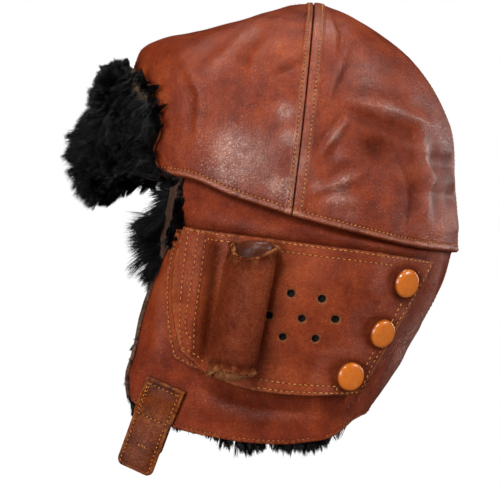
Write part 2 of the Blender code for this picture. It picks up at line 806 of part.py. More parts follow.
def pocket_cover(label, side, pivot):
    along, up = cover_lines()
    grids = [cover_grid(along, up, lift) for lift in (0, -LEATHER)]
    cover = sheet("pocket_cover_" + label, *grids, LOOKS["cover"], side, pivot)
    depths = (LEATHER + GAP, LEATHER + GAP + COVER_LINING)
    grids = [cover_grid(along[2:-1], up[1:-1], -depth) for depth in depths]
    lining = sheet("cover_lining_" + label, *grids, LOOKS["tape"], side, pivot)
    cut(cover, add_cutter("hole_cutter_" + label, hole_places(), HOLE_RADIUS, side))
    posts = add_cutter("post_cutter_" + label, SNAP_PLACES, CAP_POST_RADIUS + POST_CLEARANCE, side)
    cut(cover, posts)
    cut(lining, posts)


def receiver_ring(name, side):
    """The felt ring that holds an earphone against the base."""
    rings = []
    low = base_top() + BASE_LIFT
    section = (
        (RING_OUTER, low), (RING_OUTER, low + RING_THICKNESS),
        (RING_INNER, low + RING_THICKNESS), (RING_INNER, low),
    )
    for radius, lift in section:
        ring = []
        for turn in range(RING_SIDES):
            angle = 2 * math.pi * turn / RING_SIDES
            place = (RING_CENTRE[0] + radius * math.cos(angle), RING_CENTRE[1] + radius * math.sin(angle))
            ring.append(side_point(*place, lift))
        rings.append(ring)
    shape = bmesh.new()
    made = [[shape.verts.new(point) for point in turned_over(ring, side)] for ring in rings]
    for first, second in zip(made, made[1:] + made[:1]):
        join_loops(shape, first, second)
    add_object(name, shape, LOOKS["felt"])


def roll_ring(share, scale):
    """A section across the roll, seated on the bulging cover; a smaller scale gives an inner one."""
    y, z = on_line(ROLL_LOW, ROLL_TOP, share)
    points = []
    for across, height in ROLL_SHARES:
        lift = GAP + ROLL_RADIUS * mix(ROLL_MIDDLE_SHARE, height, scale)
        points.append(over_cover(y + ROLL_RADIUS * across * scale, z, lift))
    return points


def leather_roll(label, side, pivot):
    wall = LEATHER / (ROLL_RADIUS * ROLL_MIDDLE_SHARE)
    clear = (LEATHER + GAP) / (ROLL_RADIUS * ROLL_MIDDLE_SHARE)
    length = math.dist(ROLL_LOW, ROLL_TOP)
    outer = [roll_ring(share, 1) for share in even(ROLL_CELLS)]
    inner = [roll_ring(share, 1 - wall) for share in even(ROLL_CELLS)]
    loft("roll_cover_" + label, outer, LOOKS["cover"], side, pivot, inner)
    over = ROLL_CORE_OVERHANG / length
    core = [roll_ring(mix(-over, 1 + over, share), 1 - clear) for share in even(ROLL_CELLS)]
    loft("roll_core_" + label, core, LOOKS["inner"], side, pivot)


def press_fasteners(label, side, pivot):
    """Caps and sockets on the cover, and studs on the base."""
    for number, place in enumerate(SNAP_PLACES, 1):
        foot = side_point(*place, 0)
        normal = (side_point(*place, CAP_RADIUS) - foot).normalized()
        top = cover_lift(*cover_shares(*place))
        under = top - LEATHER - GAP - COVER_LINING - SOCKET_SEAT
        post = top + GAP - under - GAP
        rim = [(radius * CAP_RADIUS, rise * CAP_HEIGHT) for radius, rise in CAP_SHARES]
        cap = rim + [(CAP_POST_RADIUS, 0), (CAP_POST_RADIUS, -post), (0, -post)]
        name = "snap_cap_{}_{}".format(label, number)
        matrix = facing_matrix(foot + normal * (top + GAP), normal, side)
        turned(name, cap, CAP_SIDES, LOOKS["cap"], matrix, pivot)
        socket = [
            (0, 0), (SOCKET_RADIUS, 0), (SOCKET_RADIUS, -SOCKET_HEIGHT), (SOCKET_BORE, -SOCKET_HEIGHT),
            (SOCKET_BORE, -SOCKET_ROOF), (0, -SOCKET_ROOF),
        ]
        name = "snap_socket_{}_{}".format(label, number)
        matrix = facing_matrix(foot + normal * under, normal, side)
        turned(name, socket, SNAP_SIDES, LOOKS["brass"], matrix, pivot)
        name = "snap_stud_{}_{}".format(label, number)
        matrix = facing_matrix(foot + normal * (base_top() + GAP), normal, side)
        turned(name, stud_profile(), SNAP_SIDES, LOOKS["brass"], matrix)


def stud_profile():
    top = STUD_DISC + STUD_HEAD_HEIGHT
    disc = [(0, 0), (STUD_RADIUS, 0), (STUD_RADIUS, STUD_DISC)]
    return disc + [(STUD_HEAD, STUD_DISC), (STUD_HEAD, top), (0, top)]


def flap_point(turn, rise, lift):
    """A point over the front of the crown: round from the middle, and up from the hem."""
    share = 1 - max(rise, 0) / CROWN_ARC
    point = crown_point(share * math.sin(turn), -share * math.cos(turn), lift)
    point.z += min(rise, 0)
    return point


def flap_leather(pivot):
    outer, inner = [], []
    for across in even(FLAP_CELLS[0]):
        turn = mix(-FLAP_HALF_TURN, FLAP_HALF_TURN, across)
        for lift, rows in ((FLAP_LIFT + FLAP_LEATHER, outer), (FLAP_LIFT, inner)):
            rows.append([flap_point(turn, mix(0, FLAP_TOP_ARC, up), lift) for up in even(FLAP_CELLS[1])])
    sheet("brow_flap_leather", outer, inner, LOOKS["crown"], 1, pivot)


def clear_of_fold(point, hem, fold):
    """Moves a point of the fur under the fold forward, so that it passes the hem as the flap folds down."""
    below = fold.z - point.z
    reach = math.hypot(point.y - fold.y, below)
    if below > 0 and reach > math.hypot(hem.y - fold.y, hem.z - fold.z) - FLAP_FUR_CLEAR:
        point.y = min(point.y, fold.y - below * FOLD_SLOPE_SHARE)
    return point


def flap_fur(pivot):
    """The fur of the turned-up flap, thick in the middle and thin at its borders."""
    outer, inner = [], []
    under = FLAP_LIFT + FLAP_LEATHER + GAP
    fold = flap_point(0, 0, FLAP_LIFT)
    for across in even(FLAP_CELLS[0]):
        turn = mix(-FLAP_HALF_TURN, FLAP_HALF_TURN, across)
        border = abs(2 * across - 1)
        drop = FLAP_FUR_DROP * read_shares(FLAP_DROP_SHARES, border)
        side_share = read_shares(FLAP_SIDE_SHARES, border)
        hem = flap_point(turn, 0, 0)
        outer_row, inner_row = [], []
        rises = [mix(-drop, 0, share) for share in even(FLAP_CELLS[3])]
        rises += [mix(0, FLAP_TOP_ARC + FLAP_FUR_OVER, share) for share in even(FLAP_CELLS[2])[1:]]
        for rise in rises:
            up = (rise - rises[0]) / (rises[-1] - rises[0])
            pile = FLAP_FUR * side_share * read_shares(FLAP_PILE_SHARES, up)
            foot = clear_of_fold(flap_point(turn, rise, under), hem, fold)
            tip = flap_point(turn, rise, under + pile)
            if rise < 0:
                tip.y = min(tip.y, foot.y - FLAP_FUR_LEAST)
            inner_row.append(foot)
            outer_row.append(tip)
        outer.append(outer_row)
        inner.append(inner_row)
    sheet("brow_flap_fur", outer, inner, LOOKS["fur"], 1, pivot)


def tab_frame():
    """Hinge middle, hinge direction, hang direction and outward normal of the left chin tab."""
    lift = ANCHOR_LIFT + TAB_THICKNESS / 2
    ends = []
    for turn in (-1, 1):
        y = TAB_HINGE_MIDDLE[0] + turn * TAB_WIDTH / 2 * math.cos(TAB_TURN)
        z = TAB_HINGE_MIDDLE[1] - turn * TAB_WIDTH / 2 * math.sin(TAB_TURN)
        ends.append(side_point(y, z, lift))
    hinge = (ends[1] - ends[0]).normalized()
    down = Vector((0, 0, -1))
    hang = (down - hinge * down.dot(hinge)).normalized()
    normal = hinge.cross(hang)
    if normal.x < 0:
        normal.negate()
    return (ends[0] + ends[1]) / 2, hinge, hang, normal


def tab_sheet(name, steps, lifts, side, pivot):
    """A layer of the tab, from steps of length, half width and half thickness."""
    middle, hinge, hang, normal = tab_frame()
    grids = []
    for lift in lifts:
        rows = []
        for drop, half, thick in steps:
            row = []
            for across in TAB_ACROSS_SHARES:
                row.append(middle + hang * drop + hinge * half * across + normal * (lift * thick))
            rows.append(row)
        grids.append(rows)
    sheet(name, *grids, LOOKS["tab"], side, pivot)


def chin_tab(label, side, pivot):
    half, thick = TAB_WIDTH / 2, TAB_THICKNESS / 2
    ends = [(TAB_LENGTH - TAB_CORNER * up, half - TAB_CORNER * cut_in) for up, cut_in in TAB_CORNER_SHARES]
    steps = [(drop * thick, half, share) for drop, share in TAB_KNUCKLE_SHARES]
    steps += [(drop, width, 1) for drop, width in ends]
    tab_sheet("chin_tab_" + label, steps, (thick, -thick), side, pivot)
    trim = TAB_CORNER * TAB_TRIM_SHARE
    steps = [(TAB_BACKING_START, half - trim, 1)]
    steps += [(drop - trim, width - trim, 1) for drop, width in ends]
    under = -(thick + GAP)
    tab_sheet("chin_tab_backing_" + label, steps, (under, under - TAB_BACKING), side, pivot)


def chin_anchor(label, side):
    """The sewn upper part of the tab, on the curtain."""
    grids = []
    for lift in (ANCHOR_LIFT + TAB_THICKNESS, ANCHOR_LIFT):
        rows = []
        for up in even(4):
            rise = mix(TAB_THICKNESS / 2 + 2 * GAP, ANCHOR_LENGTH, up)
            row = []
            for across in even(4):
                shift = mix(-TAB_WIDTH / 2, TAB_WIDTH / 2, across)
                y = TAB_HINGE_MIDDLE[0] + shift * math.cos(TAB_TURN) + rise * math.sin(TAB_TURN)
                z = TAB_HINGE_MIDDLE[1] - shift * math.sin(TAB_TURN) + rise * math.cos(TAB_TURN)
                row.append(side_point(y, z, lift))
            rows.append(row)
        grids.append(rows)
    sheet("chin_anchor_" + label, *grids, LOOKS["tab"], side)


def chin_fastener(name, side, pivot, profile):
    """Half of the press fastener under the chin, on the inner face of its tab."""
    middle, _, hang, normal = tab_frame()
    under = TAB_THICKNESS / 2 + GAP + TAB_BACKING + GAP
    matrix = facing_matrix(middle + hang * TAB_SNAP_DROP - normal * under, -normal, side)
    turned(name, profile, SNAP_SIDES, LOOKS["brass"], matrix, pivot)


def crown():
    for side, label in SIDES:
        crown_panel("crown_front_" + label, side, -1)
        crown_panel("crown_rear_" + label, side, 1)
        hem_facing("hem_facing_" + label, side)
    crown_tapes()
    crown_lining()


def curtain():
    lining = (SIDE_LINING_DEPTH, SIDE_LINING_DEPTH + CURTAIN_FUR)
    for side, label in SIDES:
        curtain_sheet("side_panel_" + label, side, CURTAIN_CELLS, (0, LEATHER), LOOKS["crown"], 1)
        curtain_sheet(
            "side_lining_" + label, side, CURTAIN_LINING_CELLS, lining, LOOKS["fur"], 0, BINDING_INSET,
        )
        edge_binding("edge_binding_" + label, side)
    back_seam_tape()


def pockets():
    for side, label in SIDES:
        pocket_base("pocket_base_" + label, side)
        hinge_strip("pocket_hinge_strip_" + label, side)
        receiver_ring("receiver_ring_" + label, side)
        middle = (cover_point(0, 0, 0) + cover_point(0, 1, 0)) / 2
        pivot = add_pivot("pocket_cover_hinge_" + label, turned_over([middle], side)[0])
        pocket_cover(label, side, pivot)
        leather_roll(label, side, pivot)
        press_fasteners(label, side, pivot)


def brow_flap():
    fold = flap_point(0, 0, FLAP_LIFT)
    pivot = add_pivot("brow_flap_fold", fold)
    flap_leather(pivot)
    flap_fur(pivot)


def chin_tabs():
    socket = [
        (0, 0), (SOCKET_RADIUS, 0), (SOCKET_RADIUS, SOCKET_HEIGHT), (SOCKET_BORE, SOCKET_HEIGHT),
        (SOCKET_BORE, SOCKET_ROOF), (0, SOCKET_ROOF),
    ]
    for side, label in SIDES:
        chin_anchor(label, side)
        pivot = add_pivot("chin_tab_hinge_" + label, turned_over([tab_frame()[0]], side)[0])
        chin_tab(label, side, pivot)
        if side == 1:
            chin_fastener("chin_stud_left", side, pivot, stud_profile())
        else:
            chin_fastener("chin_socket_right", side, pivot, socket)


def main():
    clear_scene()
    crown()
    curtain()
    pockets()
    brow_flap()
    chin_tabs()


main()
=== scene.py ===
"""The looks of a leather flying helmet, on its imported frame.

Metres, +Z up, the face towards -Y and the wearer's left towards +X. Surfaces repeat
the frame's own outlines, with folds, seams, stitches and fur on them.
"""

import math

import bpy
import numpy as np
from mathutils import Matrix, Vector


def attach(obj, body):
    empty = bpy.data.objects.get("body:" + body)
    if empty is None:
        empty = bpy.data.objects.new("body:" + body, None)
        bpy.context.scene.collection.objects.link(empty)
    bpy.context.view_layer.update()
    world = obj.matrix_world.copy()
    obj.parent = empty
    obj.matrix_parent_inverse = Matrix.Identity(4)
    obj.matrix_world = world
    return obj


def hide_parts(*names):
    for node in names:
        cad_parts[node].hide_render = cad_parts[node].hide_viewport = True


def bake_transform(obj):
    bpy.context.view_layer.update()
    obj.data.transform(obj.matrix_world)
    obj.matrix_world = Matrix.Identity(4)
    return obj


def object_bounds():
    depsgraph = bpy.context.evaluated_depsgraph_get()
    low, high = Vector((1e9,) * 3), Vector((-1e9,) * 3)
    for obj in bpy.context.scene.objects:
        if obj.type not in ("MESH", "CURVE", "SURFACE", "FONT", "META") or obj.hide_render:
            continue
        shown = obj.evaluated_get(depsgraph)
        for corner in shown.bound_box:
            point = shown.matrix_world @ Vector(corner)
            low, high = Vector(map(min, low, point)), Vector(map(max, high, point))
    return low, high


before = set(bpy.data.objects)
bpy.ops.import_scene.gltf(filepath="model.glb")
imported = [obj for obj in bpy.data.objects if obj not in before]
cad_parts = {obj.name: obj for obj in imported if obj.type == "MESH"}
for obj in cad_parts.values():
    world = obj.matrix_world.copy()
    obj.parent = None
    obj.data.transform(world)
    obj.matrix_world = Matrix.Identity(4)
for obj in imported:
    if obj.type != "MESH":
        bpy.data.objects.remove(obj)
CAD_BOX = [list(corner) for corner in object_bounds()]
MM = 0.001
SIDES = ((1, "left"), (-1, "right"))

# Camera, and the scale of the side view
CAMERA_PLACE = (1.300, -0.0112, 0.0364)
FOCAL_LENGTH = 167.1
SENSOR = 36.0
VIEW_SIZE = 500
VIEW_FOCUS = FOCAL_LENGTH / SENSOR * VIEW_SIZE

# Gaps and sheet thicknesses
GAP = 0.0003
LEATHER = 0.0014
THIN_LEATHER = 0.0012
CROWN_FUR = 0.0060
CURTAIN_FUR = 0.0065

# Crown
CROWN_AXIS_Y = 0.024
CROWN_TOP = 0.1735
CROWN_SIDE = 0.0860
CROWN_AHEAD = 0.1020
CROWN_BEHIND = 0.0830
AHEAD_POWER = 2.5
BEHIND_POWER = 2.1
HEM_FRONT = 0.0780
HEM_BACK = 0.0350
HEM_TUCK = 0.0080
CROSS_SEAM_LEAD = 0.0132
CROSS_SEAM_POWER = 1.7
LINING_DEPTH = 0.0040
LINING_RISE = 0.0105

# Curtain
CURTAIN_LOW = -0.0664
CURTAIN_SIDE_LOW = 0.0740
CURTAIN_AHEAD_LOW = 0.1350
NECK_IN = 0.0500
FRONT_CORNER_RISE = 0.0222
BACK_CORNER_RISE = 0.0124
FRONT_EDGE_TOP_Y = -0.0530
FRONT_EDGE_REACH = 0.0253
BINDING_WIDTH = 0.0068
BINDING_SHARES = ((0, 1.0), (0.30, 0.95), (0.44, 0.42), (1, 0.28))
BINDING_INSET = 0.0010
BINDING_REACH = 0.93
SIDE_LINING_DEPTH = 0.0031

# Receiver pockets, by places in the side view
HINGE_TOP = (-0.0340, 0.0470)
HINGE_LOW = (-0.0410, -0.0225)
COVER_BACK_TOP = (0.0810, 0.0315)
COVER_BACK_LOW = (0.0425, -0.0370)
COVER_SAG = 0.0085
STRIP_TOP = (-0.0450, 0.0490)
STRIP_LOW = (-0.0470, -0.0172)
STRIP_BOW = 0.0053
BASE_LIFT = 0.0006
BASE_MARGIN = 0.0042
BASE_TOP_INSET = 0.0010
FRONT_LIFT = 0.0060
FRONT_SHARE = 0.15
BASE_BACK_INSET = 0.0030
COVER_BULGE = 0.0040
COVER_RAMP = 0.0100
BULGE_END = 0.78
SOCKET_SEAT = 0.0011
SOCKET_HEIGHT = 0.0022
STUD_DISC = 0.0008
COVER_LINING = 0.0008
HOLE_CENTRE = (0.0159, 0.0021)
HOLE_PITCH = 0.0162
HOLE_ROW = 0.0110
HOLE_RADIUS = 0.0020
RING_CENTRE = (0.0130, 0.0030)
RING_OUTER = 0.0260
RING_INNER = 0.0170
RING_THICKNESS = 0.0034
ROLL_TOP = (-0.0060, 0.0405)
ROLL_LOW = (-0.0190, -0.0290)
ROLL_RADIUS = 0.0112
ROLL_CORE_OVERHANG = 0.0008
ROLL_MIDDLE_SHARE = 0.75
SNAP_PLACES = ((0.0655, 0.0205), (0.0530, -0.0050), (0.0375, -0.0280))
CAP_RADIUS = 0.00775
CAP_HEIGHT = 0.0036

# Brow flap and chin tabs
FLAP_LIFT = 0.0011
FLAP_LEATHER = 0.0016
FLAP_HALF_TURN = math.radians(42)
FLAP_TOP_ARC = 0.0530
FLAP_FUR = 0.0355
FLAP_FUR_DROP = 0.0140
FLAP_FUR_OVER = 0.0050
FLAP_FUR_CLEAR = 0.0022
FLAP_FUR_LEAST = 0.0035
FOLD_SLOPE_SHARE = 0.7
FLAP_DROP_SHARES = ((0, 1), (0.3, 1), (0.5, 0.72), (0.65, 0.35), (0.8, 0.2), (1, 0.1))
TAB_BACKING_START = 0.0050
TAB_WIDTH = 0.0215
TAB_HINGE_MIDDLE = (-0.0632, -0.0545)
TAB_TURN = math.radians(22.7)
ANCHOR_LENGTH = 0.0215
TAB_LENGTH = 0.0285
TAB_THICKNESS = 0.0020
TAB_BACKING = 0.0012
TAB_CORNER = 0.0040
TAB_SNAP_DROP = 0.0200
ANCHOR_LIFT = 0.0006
SMALL_STEP = 0.0005
CROWN_STEP = SMALL_STEP / CROWN_SIDE
CROWN_ARC = math.hypot(CROWN_SIDE, CROWN_TOP - HEM_BACK)

FRONT_PROFILE_SHARES = (
    (1, 0), (0.998, 0.30), (0.985, 0.55), (0.965, 0.66), (0.93, 0.735), (0.83, 0.784),
    (0.72, 0.814), (0.58, 0.848), (0.41, 0.885), (0.30, 0.918), (0.13, 0.985), (0, 1),
)
SIDE_PROFILE_SHARES = (
    (1, 0), (1, 0.2), (0.985, 0.4), (0.94, 0.58), (0.85, 0.74), (0.70, 0.86),
    (0.5, 0.935), (0.25, 0.985), (0, 1),
)
BACK_PROFILE_SHARES = (
    (0.965, 0), (0.965, 0.08), (0.961, 0.16), (0.953, 0.23), (0.946, 0.31), (0.94, 0.41),
    (0.92, 0.495), (0.86, 0.588), (0.775, 0.68), (0.67, 0.758), (0.54, 0.82), (0.40, 0.879),
    (0.26, 0.925), (0.13, 0.969), (0, 1),
)
HEM_SHARES = ((0, 1), (0.18, 0.92), (0.31, 0.69), (0.49, 0.435), (0.66, 0.24), (0.84, 0.07), (1, 0))
NECK_SHARES = (
    (0, 0), (0.14, 0.08), (0.27, 0.20), (0.38, 0.34), (0.51, 0.50), (0.60, 0.59),
    (0.68, 0.70), (0.88, 0.94), (1, 1),
)
LOW_FRONT_SHARES = ((0, 1), (0.03, 0.72), (0.075, 0.37), (0.17, 0.12), (0.23, 0.04), (0.31, 0), (1, 0))
LOW_BACK_SHARES = ((0, 0), (0.31, 0), (0.375, 0.1), (0.44, 0.28), (0.55, 0.95), (0.74, 1), (1, 1))
FRONT_EDGE_SHARES = (
    (0, 0), (0.057, 0.036), (0.147, 0.12), (0.233, 0.225), (0.311, 0.29), (0.469, 0.474),
    (0.61, 0.688), (0.794, 0.873), (0.876, 1), (0.94, 1), (1, 0.96),
)
COVER_SAG_SHARES = ((0, 0), (0.07, 0.4), (0.23, 0.82), (0.39, 1), (0.69, 0.8), (0.9, 0.35), (1, 0))
HOLE_SHARES = ((0, 0), (1, -0.06), (-1, 0.15), (-0.33, 1.15), (0.62, 0.9), (-0.59, -0.86), (0.43, -0.96))
ROLL_SHARES = (
    (0.62, 0.0), (0.92, 0.34), (1.03, 0.72), (0.93, 1.1), (0.62, 1.38), (0.18, 1.5),
    (-0.28, 1.38), (-0.66, 1.05), (-0.92, 0.62), (-1.1, 0.28), (-1.2, 0.0), (-0.6, 0.0), (0, 0),
)
FLAP_PILE_SHARES = (
    (0, 0.1), (0.08, 0.6), (0.2, 0.88), (0.37, 1), (0.48, 0.93), (0.6, 0.76), (0.72, 0.62),
    (0.85, 0.5), (0.94, 0.38), (1, 0.1),
)
FLAP_HALF_SHARES = (
    (0, 1), (0.12, 0.92), (0.25, 0.88), (0.4, 0.94), (0.57, 0.94), (0.75, 0.84), (0.9, 0.76), (1, 0.67),
)
FLAP_SIDE_SHARES = ((0, 1), (0.5, 0.86), (0.8, 0.62), (0.94, 0.4), (1, 0.1))


# Numbers over arrays

def mix(first, second, share):
    return first + (second - first) * share


def ease(share):
    share = np.clip(share, 0.0, 1.0)
    return share * share * (3 - 2 * share)


def fade(distance, width):
    """1 at no distance, down to 0 at the width."""
    return 1 - ease(distance / width)


def hump(distance, width):
    return np.exp(-((distance / width) ** 2))


def grid(rows, columns):
    return np.meshgrid(rows, columns, indexing="ij")


def share_grid(rows, columns):
    return grid(np.linspace(0, 1, rows), np.linspace(0, 1, columns))


def near(across, down, places):
    """Distance from the nearest of some places in a plane."""
    return np.min([np.hypot(across - place[0], down - place[1]) for place in places], axis=0)


def level(across, down):
    """Points on a flat plane, to read noise at."""
    return np.stack([across, down, across * 0], -1)


def read(table, place):
    """The smooth line through a table's points, at an array of places."""
    points = np.asarray(table, float)
    xs, ys = points[:, 0], points[:, 1]
    place = np.clip(place, xs[0], xs[-1])
    index = np.clip(np.searchsorted(xs[1:], place, side="left"), 0, len(xs) - 2)
    before, after = np.maximum(index - 1, 0), np.minimum(index + 2, len(xs) - 1)
    span = xs[index + 1] - xs[index]
    slope_in = (ys[index + 1] - ys[before]) / (xs[index + 1] - xs[before]) * span
    slope_out = (ys[after] - ys[index]) / (xs[after] - xs[index]) * span
    part = (place - xs[index]) / span
    square, cube = part * part, part * part * part
    return (
        (2 * cube - 3 * square + 1) * ys[index] + (cube - 2 * square + part) * slope_in
        + (3 * square - 2 * cube) * ys[index + 1] + (cube - square) * slope_out
    )


def unit(vectors):
    return vectors / np.maximum(np.linalg.norm(vectors, axis=-1, keepdims=True), 1e-12)


NOISE_TABLE = np.random.default_rng(7).random(4096)


def noise(points, wavelength, seed=0):
    """Smooth noise from -1 to 1 at points in space."""
    place = np.asarray(points) / wavelength + 100.0
    cell = np.floor(place).astype(np.int64)
    part = place - cell
    part = part * part * part * (part * (part * 6 - 15) + 10)
    total = 0.0
    for corner in range(8):
        bits = np.array([corner & 1, corner >> 1 & 1, corner >> 2 & 1])
        at = cell + bits
        key = (at[..., 0] * 73856093) ^ (at[..., 1] * 19349663) ^ (at[..., 2] * 83492791) ^ (seed * 2654435)
        weight = np.prod(np.where(bits, part, 1 - part), axis=-1)
        total = total + weight * NOISE_TABLE[key % 4096]
    return total * 2 - 1


def lumps(points, side, *layers):
    """Noise in layers of (rise, wavelength in mm, seed), of its own on each side."""
    return sum(rise * noise(points, length * MM, seed + side) for rise, length, seed in layers)


def rough_noise(points, wavelength, seed=0, octaves=3):
    total, share = 0.0, 1.0
    for octave in range(octaves):
        total = total + share * noise(points, wavelength / 2 ** octave, seed + octave * 11)
        share /= 2
    return total / 1.6


# The frame's surfaces

def ring_radius(azimuth, side, ahead, behind):
    facing = np.cos(azimuth) > 0
    along = np.where(facing, ahead, behind)
    power = np.where(facing, AHEAD_POWER, BEHIND_POWER)
    across = (np.abs(np.sin(azimuth)) / side) ** power
    return (across + (np.abs(np.cos(azimuth)) / along) ** power) ** (-1 / power)


def hem_height(y):
    front = CROWN_AXIS_Y - CROWN_AHEAD
    back = CROWN_AXIS_Y + CROWN_BEHIND
    return mix(HEM_BACK, HEM_FRONT, read(HEM_SHARES, (y - front) / (back - front)))


def profile_tables(profile, radius, height):
    """Radius and height shares by the share of the profile's length, from the top down."""
    shares = np.array(profile[::-1], float)
    steps = np.linalg.norm(np.diff(shares * (radius, height), axis=0), axis=1)
    lengths = np.concatenate([[0], np.cumsum(steps)])
    lengths /= lengths[-1]
    return np.stack([lengths, shares[:, 0]], 1), np.stack([lengths, shares[:, 1]], 1)


PROFILES = [
    profile_tables(profile, radius, CROWN_TOP - hem)
    for profile, radius, hem in (
        (FRONT_PROFILE_SHARES, CROWN_AHEAD, HEM_FRONT),
        (SIDE_PROFILE_SHARES, CROWN_SIDE, (HEM_FRONT + HEM_BACK) / 2),
        (BACK_PROFILE_SHARES, CROWN_BEHIND, HEM_BACK),
    )
]


def crown_surface(across, along):
    share = np.minimum(np.hypot(across, along), 1.0)
    azimuth = np.arctan2(np.abs(across), -along)
    lead = math.asin(CROSS_SEAM_LEAD / CROWN_SIDE) * share ** CROSS_SEAM_POWER
    azimuth = azimuth - lead * np.sin(azimuth) ** 2
    ahead = np.cos(azimuth) > 0
    weight = np.cos(azimuth) ** 2
    end_radius = np.where(ahead, read(PROFILES[0][0], share), read(PROFILES[2][0], share))
    end_rise = np.where(ahead, read(PROFILES[0][1], share), read(PROFILES[2][1], share))
    full = ring_radius(azimuth, CROWN_SIDE, CROWN_AHEAD, CROWN_BEHIND)
    radius = full * mix(read(PROFILES[1][0], share), end_radius, weight)
    hem = hem_height(CROWN_AXIS_Y - full * np.cos(azimuth))
    height = mix(hem, CROWN_TOP, mix(read(PROFILES[1][1], share), end_rise, weight))
    side = np.copysign(radius * np.sin(azimuth), across)
    return np.stack([side, CROWN_AXIS_Y - radius * np.cos(azimuth), height], -1)


def crown_steps(across, along):
    """The way the surface runs over a small step to each side, across and along."""
    return (
        crown_surface(across + CROWN_STEP, along) - crown_surface(across - CROWN_STEP, along),
        crown_surface(across, along + CROWN_STEP) - crown_surface(across, along - CROWN_STEP),
    )


def crown_normal(across, along):
    """Outward normals, read a little inside the hem."""
    share = np.hypot(across, along)
    shrink = np.minimum(1.0, 0.992 / np.maximum(share, 1e-9))
    return unit(np.cross(*crown_steps(across * shrink, along * shrink)))


def disc_place(side, length):
    return side * np.sqrt(1 - length * length / 2), length * np.sqrt(1 - side * side / 2)


CURTAIN_TUCK = LEATHER + GAP + THIN_LEATHER + GAP


def curtain_surface(azimuth, z):
    share = np.clip((HEM_BACK - z) / (HEM_BACK - CURTAIN_LOW), 0.0, 1.0)
    side = mix(CROWN_SIDE - CURTAIN_TUCK, CURTAIN_SIDE_LOW, ease(share))
    ahead = mix(CROWN_AHEAD - CURTAIN_TUCK, CURTAIN_AHEAD_LOW, ease(share))
    behind = CROWN_BEHIND * BACK_PROFILE_SHARES[0][0] - CURTAIN_TUCK - NECK_IN * read(NECK_SHARES, share)
    radius = ring_radius(azimuth, side, ahead, behind)
    return np.stack([radius * np.sin(azimuth), CROWN_AXIS_Y - radius * np.cos(azimuth), z], -1)


def curtain_normal(azimuth, z):
    round_way = curtain_surface(azimuth + CROWN_STEP, z) - curtain_surface(azimuth - CROWN_STEP, z)
    up_way = curtain_surface(azimuth, z + SMALL_STEP) - curtain_surface(azimuth, z - SMALL_STEP)
    return unit(np.cross(round_way, up_way))


def curtain_at(azimuth, z):
    return curtain_surface(azimuth, z), curtain_normal(azimuth, z)


def azimuth_at(y, z):
    y, z = np.broadcast_arrays(np.asarray(y, float), np.asarray(z, float))
    low, high = np.zeros(y.shape), np.full(y.shape, math.pi)
    for _ in range(26):
        middle = (low + high) / 2
        ahead = curtain_surface(middle, z)[..., 1] < y
        low, high = np.where(ahead, middle, low), np.where(ahead, high, middle)
    return (low + high) / 2


def side_point(y, z, lift):
    azimuth = azimuth_at(y, z)
    base, normal = curtain_at(azimuth, np.broadcast_to(np.asarray(z, float), azimuth.shape))
    return base + normal * np.asarray(lift)[..., None]


def on_curtain(y, z):
    return side_point(y, z, 0)


def side_normal(y, z):
    return unit(side_point(y, z, 1 * MM) - on_curtain(y, z))


def front_edge_azimuth(z, binding):
    low = CURTAIN_LOW + FRONT_CORNER_RISE
    share = (HEM_FRONT - z) / (HEM_FRONT - low)
    width = BINDING_WIDTH * read(BINDING_SHARES, np.clip(share, 0, 1))
    edge = FRONT_EDGE_TOP_Y - FRONT_EDGE_REACH * read(FRONT_EDGE_SHARES, share)
    return azimuth_at(edge + binding * width, z)


def curtain_place(length, height, binding=1.0, inset=0.0):
    """Azimuth and height at shares along and up the curtain."""
    levels = np.linspace(CURTAIN_LOW - 0.01, HEM_FRONT + 0.02, 500)
    fronts = front_edge_azimuth(levels, binding)
    low = CURTAIN_LOW + FRONT_CORNER_RISE * read(LOW_FRONT_SHARES, length)
    low = low + BACK_CORNER_RISE * read(LOW_BACK_SHARES, length) + inset
    z = low
    for _ in range(5):
        azimuth = mix(np.interp(z, levels, fronts), math.pi, length)
        full = ring_radius(azimuth, CROWN_SIDE, CROWN_AHEAD, CROWN_BEHIND)
        top = hem_height(CROWN_AXIS_Y - full * np.cos(azimuth)) + HEM_TUCK
        z = mix(low, top, height)
    return azimuth, z


def on_line(first, second, share):
    return mix(first[0], second[0], share), mix(first[1], second[1], share)


def cover_place(along, up):
    y, z = on_line(HINGE_LOW, COVER_BACK_LOW, along)
    low = (y, z - COVER_SAG * read(COVER_SAG_SHARES, along))
    return on_line(low, on_line(HINGE_TOP, COVER_BACK_TOP, along), up)


def cover_shares(y, z):
    up = np.full(np.shape(y), 0.5)
    for _ in range(7):
        hinge_y = on_line(HINGE_LOW, HINGE_TOP, up)[0]
        back_y = on_line(COVER_BACK_LOW, COVER_BACK_TOP, up)[0]
        along = (y - hinge_y) / (back_y - hinge_y)
        low, high = cover_place(along, 0)[1], cover_place(along, 1)[1]
        up = (z - low) / (high - low)
    return along, up


BASE_TOP = BASE_LIFT + THIN_LEATHER


def cover_lift(along, up):
    hinge = BASE_TOP + GAP + LEATHER
    stack = BASE_TOP + GAP + STUD_DISC + GAP + SOCKET_HEIGHT + SOCKET_SEAT
    edge = stack + COVER_LINING + GAP + LEATHER
    hinge_y, hinge_z = on_line(HINGE_LOW, HINGE_TOP, up)
    back_y, back_z = on_line(COVER_BACK_LOW, COVER_BACK_TOP, up)
    rise = ease(along * np.hypot(back_y - hinge_y, back_z - hinge_z) / COVER_RAMP)
    swell = np.sin(math.pi * np.clip(along / BULGE_END, 0, 1)) * np.sin(math.pi * np.clip(up, 0, 1))
    return mix(hinge, edge, rise) + COVER_BULGE * np.maximum(swell, 0) ** 1.5


def over_cover(y, z, lift=0.0):
    return side_point(y, z, cover_lift(*cover_shares(y, z)) + lift)


# The side view

